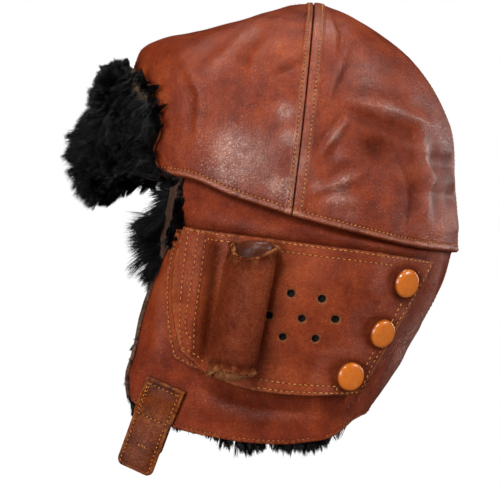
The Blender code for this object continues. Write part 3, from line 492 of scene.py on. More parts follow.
def view_of(points):
    """Places in the 500-wide side view of points; the right side is read as its mirror."""
    depth = CAMERA_PLACE[0] - np.abs(points[..., 0])
    across = VIEW_SIZE / 2 + (points[..., 1] - CAMERA_PLACE[1]) / depth * VIEW_FOCUS
    down = VIEW_SIZE / 2 - (points[..., 2] - CAMERA_PLACE[2]) / depth * VIEW_FOCUS
    return np.stack([across, down], -1)


def from_view(places, surface):
    """(y, z) on a surface, a function of y and z, of places in the side view."""
    places = np.asarray(places, float)
    depth = np.full(places.shape[:-1], CAMERA_PLACE[0] - CROWN_SIDE)
    y = CAMERA_PLACE[1] + (places[..., 0] - VIEW_SIZE / 2) * depth / VIEW_FOCUS
    z = CAMERA_PLACE[2] - (places[..., 1] - VIEW_SIZE / 2) * depth / VIEW_FOCUS
    for _ in range(7):
        point = surface(y, z)
        depth = CAMERA_PLACE[0] - point[..., 0]
        y = y + CAMERA_PLACE[1] + (places[..., 0] - VIEW_SIZE / 2) * depth / VIEW_FOCUS - point[..., 1]
        z = z + CAMERA_PLACE[2] - (places[..., 1] - VIEW_SIZE / 2) * depth / VIEW_FOCUS - point[..., 2]
    return y, z


def line_distance(places, line):
    """Distance from a drawn line, side of it, and share along it, for places in a plane."""
    line = np.asarray(line, float)
    lengths = np.concatenate([[0], np.cumsum(np.linalg.norm(np.diff(line, axis=0), axis=1))])
    best = np.full(places.shape[:-1], 1e9)
    side, along = np.zeros(best.shape), np.zeros(best.shape)
    for index in range(len(line) - 1):
        start, way = line[index], line[index + 1] - line[index]
        if way @ way == 0:
            continue
        raw = ((places - start) @ way) / (way @ way)
        part = np.clip(raw, 0, 1)
        gap = places - start - part[..., None] * way
        distance = np.hypot(gap[..., 0], gap[..., 1])
        closer = distance < best
        best = np.where(closer, distance, best)
        turn = way[0] * (places[..., 1] - start[1]) - way[1] * (places[..., 0] - start[0])
        side = np.where(closer, np.sign(turn), side)
        along = np.where(closer,
            (lengths[index] + part * (lengths[index + 1] - lengths[index])) / lengths[-1], along)
    return best, side, along


def folds(places, lines):
    """Height in metres of drawn folds. Each is (kind, height in mm, width in view steps, points)."""
    total = np.zeros(places.shape[:-1])
    for kind, height, width, points in lines:
        distance, side, along = line_distance(places, points)
        taper = np.sqrt(np.clip(np.sin(math.pi * np.clip(along, 0.02, 0.98)), 0, 1))
        if kind == "ridge":
            shape = hump(distance, width) - 0.35 * hump(distance - 2 * width, width)
        elif kind == "spot":
            shape, taper = hump(distance, width), 1.0
        else:
            shape = 1.6 * side * distance / width * hump(distance, width)
        total = total + height * MM * taper * shape
    return total


# Meshes

def build(name, points, face_sets, look, body, attributes=None, smooth=True):
    """A mesh object from points and arrays of equal-sided faces, on a body of the frame."""
    points = np.asarray(points, np.float32)
    mesh = bpy.data.meshes.new(name)
    loops = np.concatenate([faces.reshape(-1) for faces in face_sets]).astype(np.int32)
    sizes = np.concatenate([np.full(len(faces), faces.shape[1]) for faces in face_sets])
    starts = np.concatenate([[0], np.cumsum(sizes)[:-1]]).astype(np.int32)
    mesh.vertices.add(len(points))
    mesh.vertices.foreach_set("co", points.reshape(-1))
    mesh.loops.add(len(loops))
    mesh.loops.foreach_set("vertex_index", loops)
    mesh.polygons.add(len(starts))
    mesh.polygons.foreach_set("loop_start", starts)
    mesh.polygons.foreach_set("use_smooth", np.full(len(starts), smooth))
    for label, values in (attributes or {}).items():
        attribute = mesh.attributes.new(label, "FLOAT", "POINT")
        attribute.data.foreach_set("value", np.asarray(values, np.float32).reshape(-1))
    mesh.update(calc_edges=True)
    material, slot = LOOKS[look]
    mesh.materials.append(material)
    obj = bpy.data.objects.new(name, mesh)
    bpy.context.scene.collection.objects.link(obj)
    if body:
        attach(obj, body)
    return obj


def outward(points, face_sets):
    """The same faces, turned so that the closed mesh isn't inside out."""
    volume = 0.0
    for faces in face_sets:
        first = points[faces[:, 0]]
        for index in range(1, faces.shape[1] - 1):
            second, third = points[faces[:, index]], points[faces[:, index + 1]]
            volume += np.einsum("ij,ij->", first, np.cross(second, third))
    return face_sets if volume > 0 else [faces[:, ::-1] for faces in face_sets]


def mirrored(points, side):
    return points * np.array([side, 1, 1])


def shell(outer, inner, keep=None):
    """Points and faces of a closed sheet between two grids of points, with some cells left out."""
    rows, columns = outer.shape[:2]
    number = np.arange(rows * columns).reshape(rows, columns)
    quads = np.stack([number[:-1, :-1], number[:-1, 1:], number[1:, 1:], number[1:, :-1]], -1)
    faces = quads.reshape(-1, 4) if keep is None else quads[keep]
    count = rows * columns
    starts, ends = faces.reshape(-1), np.roll(faces, -1, axis=1).reshape(-1)
    border = ~np.isin(starts.astype(np.int64) * count + ends, ends.astype(np.int64) * count + starts)
    first, second = starts[border], ends[border]
    walls = np.stack([second, first, first + count, second + count], -1)
    points = np.concatenate([outer.reshape(-1, 3), inner.reshape(-1, 3)])
    faces = np.concatenate([faces, faces[:, ::-1] + count, walls])
    used, faces = np.unique(faces, return_inverse=True)
    return points[used], faces.reshape(-1, 4), used


def declare(obj):
    return obj


def sheet(name, outer, inner, look, body, side=1, paint=None, keep=None):
    """A closed sheet on a body. Its paint is shares for the shader, by name, over the grid."""
    points, faces, used = shell(outer, inner, keep)
    points = mirrored(points, side)
    values = {}
    for label, shares in (paint or {}).items():
        flat = np.broadcast_to(np.asarray(shares, float), outer.shape[:2]).reshape(-1)
        values[label] = np.concatenate([flat, flat])[used]
    return declare(build(name, points, outward(points, [faces]), look, body, values))


def tube_rings(centres, normals, binormals, radii, sides):
    turns = np.linspace(0, 2 * math.pi, sides, endpoint=False)
    ring = normals[..., None, :] * np.cos(turns)[:, None] + binormals[..., None, :] * np.sin(turns)[:, None]
    return centres[..., None, :] + ring * radii[..., None, None]


def many_tubes(name, rings, look, body, attributes=None):
    """Closed tubes in one mesh, from rings shaped (tubes, rings along, sides, 3)."""
    tubes, steps, sides = rings.shape[:3]
    number = np.arange(tubes * steps * sides).reshape(tubes, steps, sides)
    ahead = np.roll(number, -1, axis=2)
    quads = np.stack([number[:, :-1], ahead[:, :-1], ahead[:, 1:], number[:, 1:]], -1).reshape(-1, 4)
    first = number[:, 0, ::-1].reshape(-1, sides)
    last = number[:, -1].reshape(-1, sides)
    points = rings.reshape(-1, 3)
    values = {}
    for label, shares in (attributes or {}).items():
        values[label] = np.broadcast_to(shares[..., None], rings.shape[:3]).reshape(-1)
    return build(name, points, outward(points, [quads, first, last]), look, body, values)


# Materials

class Look:
    """A node material in the making."""

    def __init__(self, name):
        self.material = bpy.data.materials.new(name)
        self.material.use_nodes = True
        self.tree = self.material.node_tree
        self.shader = self.tree.nodes["Principled BSDF"]
        self.coords = self.add("ShaderNodeTexCoord").outputs["Object"]

    def add(self, kind, inputs=None, **settings):
        made = self.tree.nodes.new(kind)
        for label, value in settings.items():
            setattr(made, label, value)
        for label, value in (inputs or {}).items():
            self.put(made.inputs[label], value)
        return made

    def put(self, socket, value):
        if isinstance(value, bpy.types.NodeSocket):
            self.tree.links.new(value, socket)
        elif isinstance(value, tuple) and len(value) == 3 and socket.type == "RGBA":
            socket.default_value = (*value, 1.0)
        else:
            socket.default_value = value

    def noise(self, size, detail=4.0, rough=0.55, distortion=0.0, coords=None):
        inputs = {"Vector": coords or self.coords, "Scale": 1 / size, "Detail": detail, "Roughness": rough}
        inputs["Distortion"] = distortion
        return self.add("ShaderNodeTexNoise", inputs).outputs["Fac"]

    def cells(self, size, coords):
        """Distance from the edges of cells, as in grained leather."""
        inputs = {"Vector": coords, "Scale": 1 / size}
        return self.add("ShaderNodeTexVoronoi", inputs, feature="DISTANCE_TO_EDGE").outputs["Distance"]

    def attribute(self, label):
        return self.add("ShaderNodeAttribute", attribute_name=label).outputs["Fac"]

    def maths(self, operation, first, second=0.0, third=None):
        made = self.add("ShaderNodeMath", operation=operation)
        self.put(made.inputs[0], first)
        self.put(made.inputs[1], second)
        if third is not None:
            self.put(made.inputs[2], third)
        return made.outputs[0]

    def scaled(self, value, share, base=None):
        return self.maths("MULTIPLY" if base is None else "MULTIPLY_ADD", value, share, base)

    def rest(self, value):
        return self.maths("SUBTRACT", 1.0, value)

    def span(self, value, low, high, start=0.0, end=1.0):
        inputs = {"Value": value, "From Min": low, "From Max": high, "To Min": start, "To Max": end}
        return self.add("ShaderNodeMapRange", inputs).outputs["Result"]

    def ramp(self, value, stops):
        made = self.add("ShaderNodeValToRGB", {"Fac": value})
        while len(made.color_ramp.elements) < len(stops):
            made.color_ramp.elements.new(0.5)
        for element, (place, colour) in zip(made.color_ramp.elements, stops):
            element.position = place
            element.color = (*colour, 1.0)
        return made.outputs["Color"]

    def blend(self, share, first, second):
        made = self.add("ShaderNodeMix", data_type="RGBA")
        self.put(made.inputs["Factor"], share)
        self.put(made.inputs["A"], first)
        self.put(made.inputs["B"], second)
        return made.outputs["Result"]

    def bump(self, height, distance, strength=1.0, normal=None):
        inputs = {"Height": height, "Distance": distance, "Strength": strength}
        if normal is not None:
            inputs["Normal"] = normal
        return self.add("ShaderNodeBump", inputs).outputs["Normal"]

    def set(self, **inputs):
        for label, value in inputs.items():
            self.put(self.shader.inputs[label.replace("_", " ")], value)
        return self.material


def leather(name, dark, middle, light, worn, grain=1.6 * MM, rough=(0.24, 0.38), depth=0.22 * MM, shine=0.25,
        painted_sheen_strength=0.42):
    """Grained leather with mottled dye, dull and glossy places, worn ridges, painted shade and a painted pale
    sheen.
    """
    look = Look(name)
    warp = look.noise(6 * MM, 2.0)
    moved = look.add("ShaderNodeVectorMath", operation="MULTIPLY_ADD")
    look.put(moved.inputs[0], look.add("ShaderNodeCombineXYZ", {"X": warp, "Y": warp, "Z": warp}).outputs[0])
    moved.inputs[1].default_value = (0.004, 0.004, 0.004)
    look.put(moved.inputs[2], look.coords)
    coords = moved.outputs[0]
    broad = look.noise(55 * MM, 4.0, 0.6)
    patches = look.noise(13 * MM, 5.0, 0.62, 0.4)
    speck = look.noise(1.6 * MM, 4.0, 0.65)
    shade = look.scaled(patches, 0.52, look.scaled(broad, 0.48))
    shade = look.scaled(look.maths("SUBTRACT", speck, 0.5), 0.22, shade)
    colour = look.ramp(shade, ((0.36, dark), (0.50, middle), (0.64, light)))
    groove = look.cells(grain, coords)
    pores = look.span(groove, 0.0, 0.22)
    small = look.span(look.cells(grain * 0.45, coords), 0.0, 0.2)
    grit = look.noise(0.5 * MM, 3.0, 0.6)
    colour = look.blend(look.scaled(look.rest(pores), 0.45), colour, dark)
    fleck = look.span(look.noise(0.8 * MM, 2.0, 0.5), 0.64, 0.74, 0.0, 0.45)
    colour = look.blend(look.scaled(fleck, look.span(patches, 0.40, 0.60)), colour, worn)
    # Painted shade: the dark share darkens the colour where shade falls, in creases, grooves, under edges and
    # beside parts; on the roll it also carries the roll's darker tone.
    painted_shade_and_tone = look.scaled(look.attribute("dark"), 0.85)
    shade_colour = tuple(value * 0.22 for value in dark)
    colour = look.blend(painted_shade_and_tone, colour, shade_colour)
    scuff = look.span(look.noise(2.6 * MM, 5.0, 0.7), 0.42, 0.62)
    scuff = look.scaled(scuff, look.attribute("wear"))
    colour = look.blend(scuff, colour, worn)
    # Painted highlight: a pale grainy sheen is blended into the colour where the gloss share is high, in
    # place of reflected light.
    shown = look.maths("MINIMUM", look.scaled(look.attribute("gloss"), look.attribute("gloss")), 1.3)
    painted_sheen = look.scaled(look.span(look.noise(4 * MM, 4.0, 0.65), 0.36, 0.62, 0.30, 1.0),
        look.scaled(shown, painted_sheen_strength))
    painted_sheen = look.scaled(painted_sheen, look.scaled(pores, 0.85, 0.15))
    painted_sheen = look.scaled(painted_sheen, look.span(look.noise(1.3 * MM, 3.0, 0.6), 0.35, 0.60, 0.5, 1.35))
    colour = look.blend(painted_sheen, colour, (0.54, 0.32, 0.25))
    scratch = look.add("ShaderNodeMapping",
        {"Vector": look.coords, "Rotation": (0.5, 0.3, 0.9), "Scale": (1, 9, 9)})
    colour = look.blend(look.scaled(look.attribute("raw"), 0.9), colour,
        look.ramp(speck, ((0.3, (0.16, 0.050, 0.016)), (0.6, (0.52, 0.23, 0.085)))))
    marks = look.span(look.noise(9 * MM, 3.0, 0.5, 0.0, scratch.outputs[0]), 0.66, 0.74, 0.0, 0.28)
    colour = look.blend(marks, colour, worn)
    height = look.scaled(pores, 0.62, look.scaled(small, 0.2))
    height = look.scaled(grit, 0.3, height)
    wrinkle = look.bump(look.noise(8 * MM, 5.0, 0.6, 0.8), 0.70 * MM, 0.7)
    normal = look.bump(height, depth, 0.9, wrinkle)
    dull = look.span(look.noise(16 * MM, 5.0, 0.65), 0.35, 0.65, rough[0], rough[1])
    dull = look.scaled(look.attribute("gloss"), -0.07, dull)
    dull = look.scaled(scuff, 0.15, dull)
    dull = look.scaled(look.rest(pores), 0.15, dull)
    glint = look.scaled(look.attribute("gloss"), 0.50, shine)
    glint = look.scaled(glint, look.rest(look.attribute("dark")))
    return look.set(Base_Color=colour, Roughness=dull, Normal=normal, Specular_IOR_Level=glint)


def thread():
    look = Look("waxed_thread")
    twist = look.add("ShaderNodeTexWave", {"Vector": look.coords, "Scale": 1100.0, "Distortion": 2.0})
    colour = look.ramp(look.noise(5 * MM, 3.0),
        ((0.3, (0.40, 0.115, 0.018)), (0.55, (0.64, 0.22, 0.035)), (0.75, (0.78, 0.34, 0.075))))
    # Painted shade and dirt: the dark share darkens the thread.
    colour = look.blend(look.scaled(look.attribute("dark"), 0.8), colour, (0.05, 0.018, 0.008))
    normal = look.bump(twist.outputs["Fac"], 0.08 * MM, 0.7)
    return look.set(Base_Color=colour, Roughness=0.62, Normal=normal)


def pits():
    # A nearly black colour: painted shade for the inside of each needle hole.
    look = Look("needle_hole_shade")
    colour = look.ramp(look.noise(0.6 * MM), ((0.3, (0.006, 0.002, 0.001)), (0.8, (0.03, 0.010, 0.005))))
    return look.set(Base_Color=colour, Roughness=0.9)


def enamel():
    """Orange enamel, a little uneven, over a press fastener's cap."""
    look = Look("orange_enamel")
    colour = look.ramp(look.noise(3 * MM, 3.0),
        ((0.30, (0.54, 0.125, 0.007)), (0.55, (0.59, 0.145, 0.009)), (0.80, (0.62, 0.165, 0.012))))
    chip = look.span(look.noise(1.1 * MM, 4.0, 0.6), 0.72, 0.78)
    colour = look.blend(look.scaled(chip, 0.35), colour, (0.12, 0.03, 0.01))
    # Painted shade: darker round the cap's rim.
    colour = look.blend(look.attribute("rim"), colour, (0.16, 0.035, 0.006))
    normal = look.bump(look.noise(1.6 * MM, 3.0), 0.05 * MM, 0.6)
    dull = look.span(look.noise(2.2 * MM, 4.0), 0.3, 0.7, 0.20, 0.38)
    return look.set(Base_Color=colour, Roughness=dull, Normal=normal, Coat_Weight=0.5, Coat_Roughness=0.12)


def metal():
    look = Look("dull_brass")
    colour = look.ramp(look.noise(2 * MM, 4.0), ((0.35, (0.20, 0.12, 0.04)), (0.6, (0.50, 0.33, 0.12))))
    dull = look.span(look.noise(1.2 * MM, 4.0), 0.3, 0.7, 0.28, 0.5)
    normal = look.bump(look.noise(0.7 * MM, 3.0), 0.04 * MM, 0.5)
    return look.set(Base_Color=colour, Roughness=dull, Normal=normal, Metallic=1.0)


def woven(name, dark, light, count, fuzz=0.08):
    """Plain woven cloth."""
    look = Look(name)
    waves = {"Vector": look.coords, "Scale": count, "Distortion": 0.8}
    first, second = (look.add("ShaderNodeTexWave", waves, bands_direction=way).outputs["Fac"] for way in "YZ")
    weave = look.scaled(first, second)
    shade = look.scaled(weave, 0.5, look.scaled(look.noise(6 * MM, 4.0), 0.5))
    colour = look.ramp(shade, ((0.2, dark), (0.7, light)))
    # Painted shade: the dark share turns the cloth nearly black, for the shaded inside of the pocket seen
    # through the holes.
    colour = look.blend(look.attribute("dark"), colour, (0.003, 0.002, 0.002))
    normal = look.bump(weave, 0.15 * MM, 0.8)
    return look.set(Base_Color=colour, Roughness=0.9, Normal=normal, Sheen_Weight=fuzz)


def hair():
    """Black fur with a cool shine, brown here and there."""
    look = Look("black_fur")
    colour = look.ramp(look.attribute("tone"),
        ((0.0, (0.0008, 0.0008, 0.0010)), (0.55, (0.0022, 0.0021, 0.0025)), (0.85, (0.006, 0.0055, 0.006)),
            (1.0, (0.024, 0.019, 0.016))))
    return look.set(Base_Color=colour, Roughness=0.40, Specular_IOR_Level=0.30)


def undercoat():
    """The dense fur under the long hair, with bare skin where it is parted."""
    look = Look("fur_undercoat")
    streaks = look.noise(1.1 * MM, 5.0, 0.7, 1.5)
    colour = look.ramp(look.scaled(look.noise(5 * MM, 4.0), 0.5, look.scaled(streaks, 0.5)),
        ((0.35, (0.0010, 0.0010, 0.0012)), (0.65, (0.0040, 0.0036, 0.0040))))
    tan = look.ramp(look.noise(1.5 * MM, 4.0, 0.7), ((0.35, (0.02, 0.012, 0.008)), (0.6, (0.30, 0.17, 0.08))))
    shown = look.scaled(look.attribute("bare"), look.span(look.noise(2.2 * MM, 4.0, 0.7), 0.45, 0.60))
    colour = look.blend(shown, colour, tan)
    normal = look.bump(streaks, 0.9 * MM, 1.0)
    return look.set(Base_Color=colour, Roughness=0.8, Normal=normal)


def felt():
    look = Look("grey_felt")
    shade = look.scaled(look.noise(0.8 * MM, 5.0, 0.7), 0.6, look.scaled(look.noise(5 * MM), 0.4))
    colour = look.ramp(shade, ((0.35, (0.030, 0.026, 0.022)), (0.65, (0.085, 0.075, 0.062))))
    normal = look.bump(look.noise(0.5 * MM, 5.0, 0.7), 0.3 * MM, 0.9)
    return look.set(Base_Color=colour, Roughness=0.95, Normal=normal, Sheen_Weight=0.4)


LOOKS = {
    "crown": (
        leather("crown_leather", (0.125, 0.014, 0.004), (0.245, 0.036, 0.009), (0.36, 0.066, 0.016),
            (0.44, 0.14, 0.045)),
        "crown_leather",
    ),
    "side": (
        leather("side_leather", (0.110, 0.013, 0.004), (0.205, 0.028, 0.007), (0.29, 0.050, 0.012),
            (0.40, 0.12, 0.04), rough=(0.32, 0.46), shine=0.10),
        "crown_leather",
    ),
    "cover": (
        leather("cover_leather", (0.115, 0.013, 0.004), (0.215, 0.032, 0.008), (0.31, 0.056, 0.013),
            (0.42, 0.14, 0.05), rough=(0.30, 0.42), shine=0.12),
        "cover_leather",
    ),
    "strip": (
        leather("strip_suede", (0.022, 0.010, 0.008), (0.050, 0.025, 0.019), (0.085, 0.045, 0.034),
            (0.22, 0.12, 0.08), rough=(0.6, 0.8), shine=0.08),
        "strip_leather",
    ),
    "core": (
        leather("filling_leather", (0.035, 0.007, 0.003), (0.090, 0.018, 0.006), (0.15, 0.034, 0.012),
            (0.25, 0.074, 0.026), rough=(0.22, 0.38), depth=0.08 * MM),
        "core_leather",
    ),
    "tab": (
        leather("tab_leather", (0.060, 0.009, 0.002), (0.145, 0.025, 0.005), (0.23, 0.046, 0.009),
            (0.34, 0.10, 0.02), rough=(0.42, 0.54), shine=0.02, painted_sheen_strength=0.12),
        "tab_leather",
    ),
    "cloth": (woven("lining_cloth", (0.045, 0.017, 0.010), (0.115, 0.045, 0.026), 900.0), "tape"),
    "felt": (felt(), "felt"),
    "fur": (hair(), "fur"),
    "undercoat": (undercoat(), "fur"),
    "cap": (enamel(), "snap_cap"),
    "brass": (metal(), "brass"),
    "thread": (thread(), "tape"),
    "pit": (pits(), "cover_leather"),
}


# Crown

CENTRE_ROW = 3.2 * MM
CROSS_ROWS = (2.6 * MM, 4.6 * MM)
HEM_ROW = 3.9 * MM
SEAM_HALF = 0.2 * MM
HEM_STEP = 0.015
STITCH_PITCH = 2.35 * MM

# Folds in the side view: kind, rise in mm, width, and the points of its line
CROWN_FOLDS = (
    ("ridge", -0.75, 3.2, ((310, 52), (292, 66), (272, 75))),
    ("fold", 0.80, 4.5, ((330, 13), (338, 34), (337, 53))),
    ("fold", 0.70, 4.5, ((348, 58), (336, 84), (333, 98))),
    ("ridge", 1.05, 4.0, ((350, 117), (336, 134), (322, 154))),
    ("ridge", 1.00, 5.0, ((359, 174), (336, 185), (311, 192))),
    ("ridge", 1.00, 6.0, ((349, 101), (388, 108), (430, 124))),
    ("ridge", -0.80, 6.0, ((352, 114), (390, 126), (424, 142))),
    ("spot", -1.50, 15.0, ((374, 147), (380, 147))),
    ("ridge", -1.00, 6.5, ((432, 140), (441, 178), (437, 222))),
    ("ridge", 0.90, 5.0, ((422, 138), (430, 178), (426, 218))),
    ("ridge", -0.80, 5.0, ((447, 150), (452, 182), (449, 226))),
    ("fold", 0.70, 6.0, ((398, 160), (410, 186), (408, 214))),
    ("ridge", 0.60, 7.0, ((250, 34), (226, 52), (206, 78))),
    ("ridge", -0.60, 6.0, ((264, 30), (246, 52), (240, 82))),
    ("spot", 0.80, 16.0, ((227, 146), (231, 150))),
    ("spot", 0.70, 9.0, ((285, 112), (286, 113))),
    ("spot", 0.60, 8.0, ((289, 137), (290, 138))),
    ("spot", 0.80, 11.0, ((279, 189), (281, 190))),
    ("ridge", 0.70, 6.0, ((320, 203), (340, 199), (356, 206))),
    ("fold", -0.60, 6.0, ((180, 60), (196, 96), (192, 140))),
    ("ridge", 0.50, 6.0, ((176, 52), (208, 42), (238, 30))),
)
# Folds that run round the back, each with its rise in mm, height and width
NECK_WAVES = ((-1.5, 0.084, 5 * MM), (0.8, 0.074, 5 * MM), (-1.3, 0.0655, 5 * MM), (0.8, 0.048, 7 * MM))
# Glossy places in the side view, where a pale sheen is also painted as highlight: across, down, size and
# strength
GLOSS_AND_SHEEN_SPOTS = (
    (228, 148, 21, 1.0), (262, 150, 22, 0.7), (285, 112, 9, 1.2), (290, 137, 9, 1.0), (280, 188, 12, 1.3),
    (338, 200, 15, 0.9), (250, 175, 20, 0.6), (336, 135, 9, 0.7), (345, 182, 10, 0.7), (390, 110, 16, 0.5),
    (442, 190, 16, 0.7), (330, 30, 14, 0.6), (205, 60, 20, 0.4), (225, 172, 16, 0.7), (302, 165, 10, 0.6),
    (248, 30, 22, 0.35), (368, 74, 24, 0.7), (315, 182, 7, 0.6), (352, 216, 8, 0.5), (434, 150, 14, 0.6),
    (405, 225, 14, 0.4), (340, 155, 7, 0.6),
)


def gloss_and_sheen_at(places):
    # Gloss, and the strength of the painted highlight, at places in the side view.
    total = np.zeros(places.shape[:-1])
    for across, down, size, strength in GLOSS_AND_SHEEN_SPOTS:
        total = total + strength * hump(np.hypot(places[..., 0] - across, places[..., 1] - down), size)
    return total


def crown_skin(across, along, side):
    """Points, normals and painted shares of the crown's leather, on the left; the side picks its folds."""
    base = crown_surface(across, along)
    normal = crown_normal(across, along)
    steps = crown_steps(across, along)
    per_across, per_along = (np.linalg.norm(step, axis=-1) / CROWN_STEP / 2 for step in steps)
    share = np.maximum(np.hypot(across, along), 1e-6)
    inward = crown_surface(across * 0.985, along * 0.985)
    hem = (1 - share) * np.linalg.norm(base - inward, axis=-1) / (0.015 * share)
    centre, cross = np.abs(across) * per_across, np.abs(along) * per_along
    centre_row = np.full(share.shape, CENTRE_ROW)
    cross_row = np.where(along < 0, CROSS_ROWS[0], CROSS_ROWS[1])
    raised, sunk, stitched, pucker = 0.0, 0.0, 0.0, 0.0
    ripple = noise(base, 8 * MM, 5 + side)
    for distance, row in ((centre, centre_row), (cross, cross_row)):
        raised = np.maximum(raised, fade(distance - row - 0.8 * MM, 1.3 * MM))
        sunk = np.maximum(sunk, fade(distance, 0.75 * MM))
        stitched = np.maximum(stitched, hump(distance - row, 0.55 * MM) * (hem > HEM_ROW))
        pucker = np.maximum(pucker, np.exp(-np.abs(distance - row - 1.5 * MM) / (4.0 * MM)))
    edge = fade(hem, 1.0 * MM)
    roll = hump(hem - 1.7 * MM, 1.2 * MM)
    stitched = np.maximum(stitched, hump(hem - HEM_ROW, 0.55 * MM))
    pucker = np.maximum(pucker, np.exp(-np.abs(hem - HEM_ROW - 1.5 * MM) / (5.0 * MM)))
    places = view_of(base) + (0.0 if side == 1 else 9.0)
    away = ease(np.minimum(np.minimum(centre, cross) - 4 * MM, hem - 4 * MM) / (9 * MM))
    broad = lumps(base, side, (0.75, 32, 1), (0.36, 14, 3), (0.10, 6, 13))
    fold = 2.0 * folds(places, CROWN_FOLDS)
    behind = ease((base[..., 1] - 0.060) / 0.040)
    waves = sum(rise * hump(base[..., 2] - height, width) for rise, height, width in NECK_WAVES)
    waves = 1.8 * waves * (0.7 + 0.5 * noise(base, 24 * MM, 9 + side))
    lift = 0.85 * raised - 1.0 * sunk - 0.30 * stitched + 0.30 * pucker * ripple
    lift = lift + 0.45 * roll - 1.0 * edge + (broad + waves * behind) * away
    lift = lift * MM + fold * mix(0.35, 1.0, away)
    # Painted shade: darker in the seam grooves, along the stitch rows, at the hem's edge and in creases,
    # lighter on fold ridges. The gloss share also paints a pale sheen on the glossy spots, the rolled hem and
    # fold ridges.
    paint = {
        "dark": np.clip(0.70 * sunk + 0.30 * stitched + 0.5 * edge - 0.22 * fold / MM, 0, 1),
        "wear": np.clip(0.45 * roll + 0.18 * raised * (1 - sunk) + 0.04, 0, 1),
        "gloss": np.clip(gloss_and_sheen_at(places) + 0.4 * raised + 0.6 * roll + 0.25 * fold / MM, 0, 1.4),
    }
    point = base + normal * lift[..., None]
    point[..., 0] = np.where(np.abs(across) < 1e-7, SEAM_HALF, np.maximum(point[..., 0], SEAM_HALF))
    point[..., 1] = np.where(np.abs(along) < 1e-7, base[..., 1] + np.where(along < 0, -1, 1) * SEAM_HALF,
        point[..., 1])
    return point, normal, paint


def crown_lines():
    """Shares across a crown panel: close together beside the seam and at the hem."""
    near = np.array([0, 0.35, 0.7, 1.05, 1.4, 1.9, 2.4, 2.8, 3.2, 3.6, 4.1, 4.6, 5.1, 5.7, 6.4, 7.2]) * MM
    last = CROWN_ARC * 0.93
    far = np.linspace(near[-1], last - 7 * MM, 124)[1:]
    edge = np.linspace(last - 7 * MM, last, 17)[1:]
    return np.concatenate([near, far, edge]) / last


def crown_panels():
    lines = crown_lines()
    for side, label in SIDES:
        for along_sign, part in ((-1, "front"), (1, "rear")):
            square_side, square_length = grid(lines, lines)
            across, length = disc_place(square_side, square_length)
            signed = length * along_sign
            signed = np.where(signed == 0, along_sign * 1e-9, signed)
            point, normal, paint = crown_skin(across, signed, side)
            inner = point - normal * LEATHER
            inner[..., 0] = np.maximum(inner[..., 0], SEAM_HALF)
            obj = sheet("leather_crown_%s_%s" % (part, label), point, inner, "crown", "helmet", side, paint)
            names = ["crown_%s_%s" % (part, label)]
            names += ["hem_facing_" + label] if part == "front" else []
            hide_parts(*names)
    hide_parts("crown_centre_tape_front", "crown_cross_tape")
    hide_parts("crown_centre_tape_rear")


# Stitches

def along_line(places, lengths, values):
    return np.stack([np.interp(places, lengths, values[:, axis]) for axis in range(3)], -1)


class Stitches:
    """Rows of thread, gathered by the body that they ride on."""

    def __init__(self):
        self.rows = {}

    def add(self, name, body, side, points, normals, pitch=STITCH_PITCH, length=0.74, radius=0.31 * MM,
            pits=1.0, seed=1):
        """Stitches along a line of points. Their length is a share of the pitch."""
        points, normals = mirrored(points, side), mirrored(normals, side)
        steps = np.linalg.norm(np.diff(points, axis=0), axis=1)
        lengths = np.concatenate([[0], np.cumsum(steps)])
        count = max(int(lengths[-1] / pitch), 1)
        spread = np.random.default_rng(seed)
        starts = (np.arange(count) + 0.5 + spread.uniform(-0.06, 0.06, count)) * lengths[-1] / count
        half = lengths[-1] / count * length / 2
        places = starts[:, None] + half * np.array([-1.0, -0.62, 0.0, 0.62, 1.0])
        centre, up = along_line(places, lengths, points), unit(along_line(places, lengths, normals))
        way = unit(centre[:, -1] - centre[:, 0])[:, None, :]
        across = unit(np.cross(np.broadcast_to(way, up.shape), up))
        slant = spread.uniform(-0.22, 0.22, (count, 1, 1)) * radius
        rise = np.array([-1.3, 0.15, 0.62, 0.15, -1.3])[None, :, None] * radius
        shift = np.array([-1, -0.6, 0, 0.6, 1])[None, :, None]
        centre = centre + up * rise + across * (slant * shift)
        thick = radius * np.array([0.55, 0.95, 1.05, 0.95, 0.55]) * spread.uniform(0.85, 1.12, (count, 1))
        rings = tube_rings(centre, up, across, thick, 6)
        # Painted shade at both ends of each stitch, where it sinks into its hole, with some dirt at random.
        shade_and_dirt = np.array([0.8, 0.15, 0.0, 0.15, 0.8]) + spread.uniform(0, 0.22, (count, 1))
        self.rows.setdefault((name, body), []).append((rings, np.clip(shade_and_dirt, 0, 1)))
        # Dark lenses at the needle holes, as painted shade.
        if pits:
            ends = np.concatenate([starts - half, starts + half])
            hole, face = along_line(ends, lengths, points), unit(along_line(ends, lengths, normals))
            first = unit(np.cross(face, np.concatenate([way[:, 0]] * 2)))
            second = np.cross(face, first)
            levels = np.array([-0.35, 0.02, 0.10]) * MM
            widths = np.array([0.55, 0.62, 0.30]) * MM * 0.62 * pits
            centres = hole[:, None] + face[:, None] * levels[None, :, None]
            first, second = np.repeat(first[:, None], 3, 1), np.repeat(second[:, None], 3, 1)
            rings = tube_rings(centres, first, second, np.broadcast_to(widths, (len(hole), 3)), 6)
            self.rows.setdefault(("pits_" + name, body), []).append((rings, np.zeros(rings.shape[:2])))

    def finish(self):
        for (name, body), rows in self.rows.items():
            rings = np.concatenate([row[0] for row in rows])
            shade_and_dirt = np.concatenate([row[1] for row in rows])
            many_tubes(name, rings, "pit" if name.startswith("pits_") else "thread", body, {"dark": shade_and_dirt})


STITCHES = Stitches()


def crown_row(across, along, side, seed):
    point, normal = crown_skin(across, along, side)[:2]
    STITCHES.add("thread_crown", "helmet", side, point, normal, seed=seed)


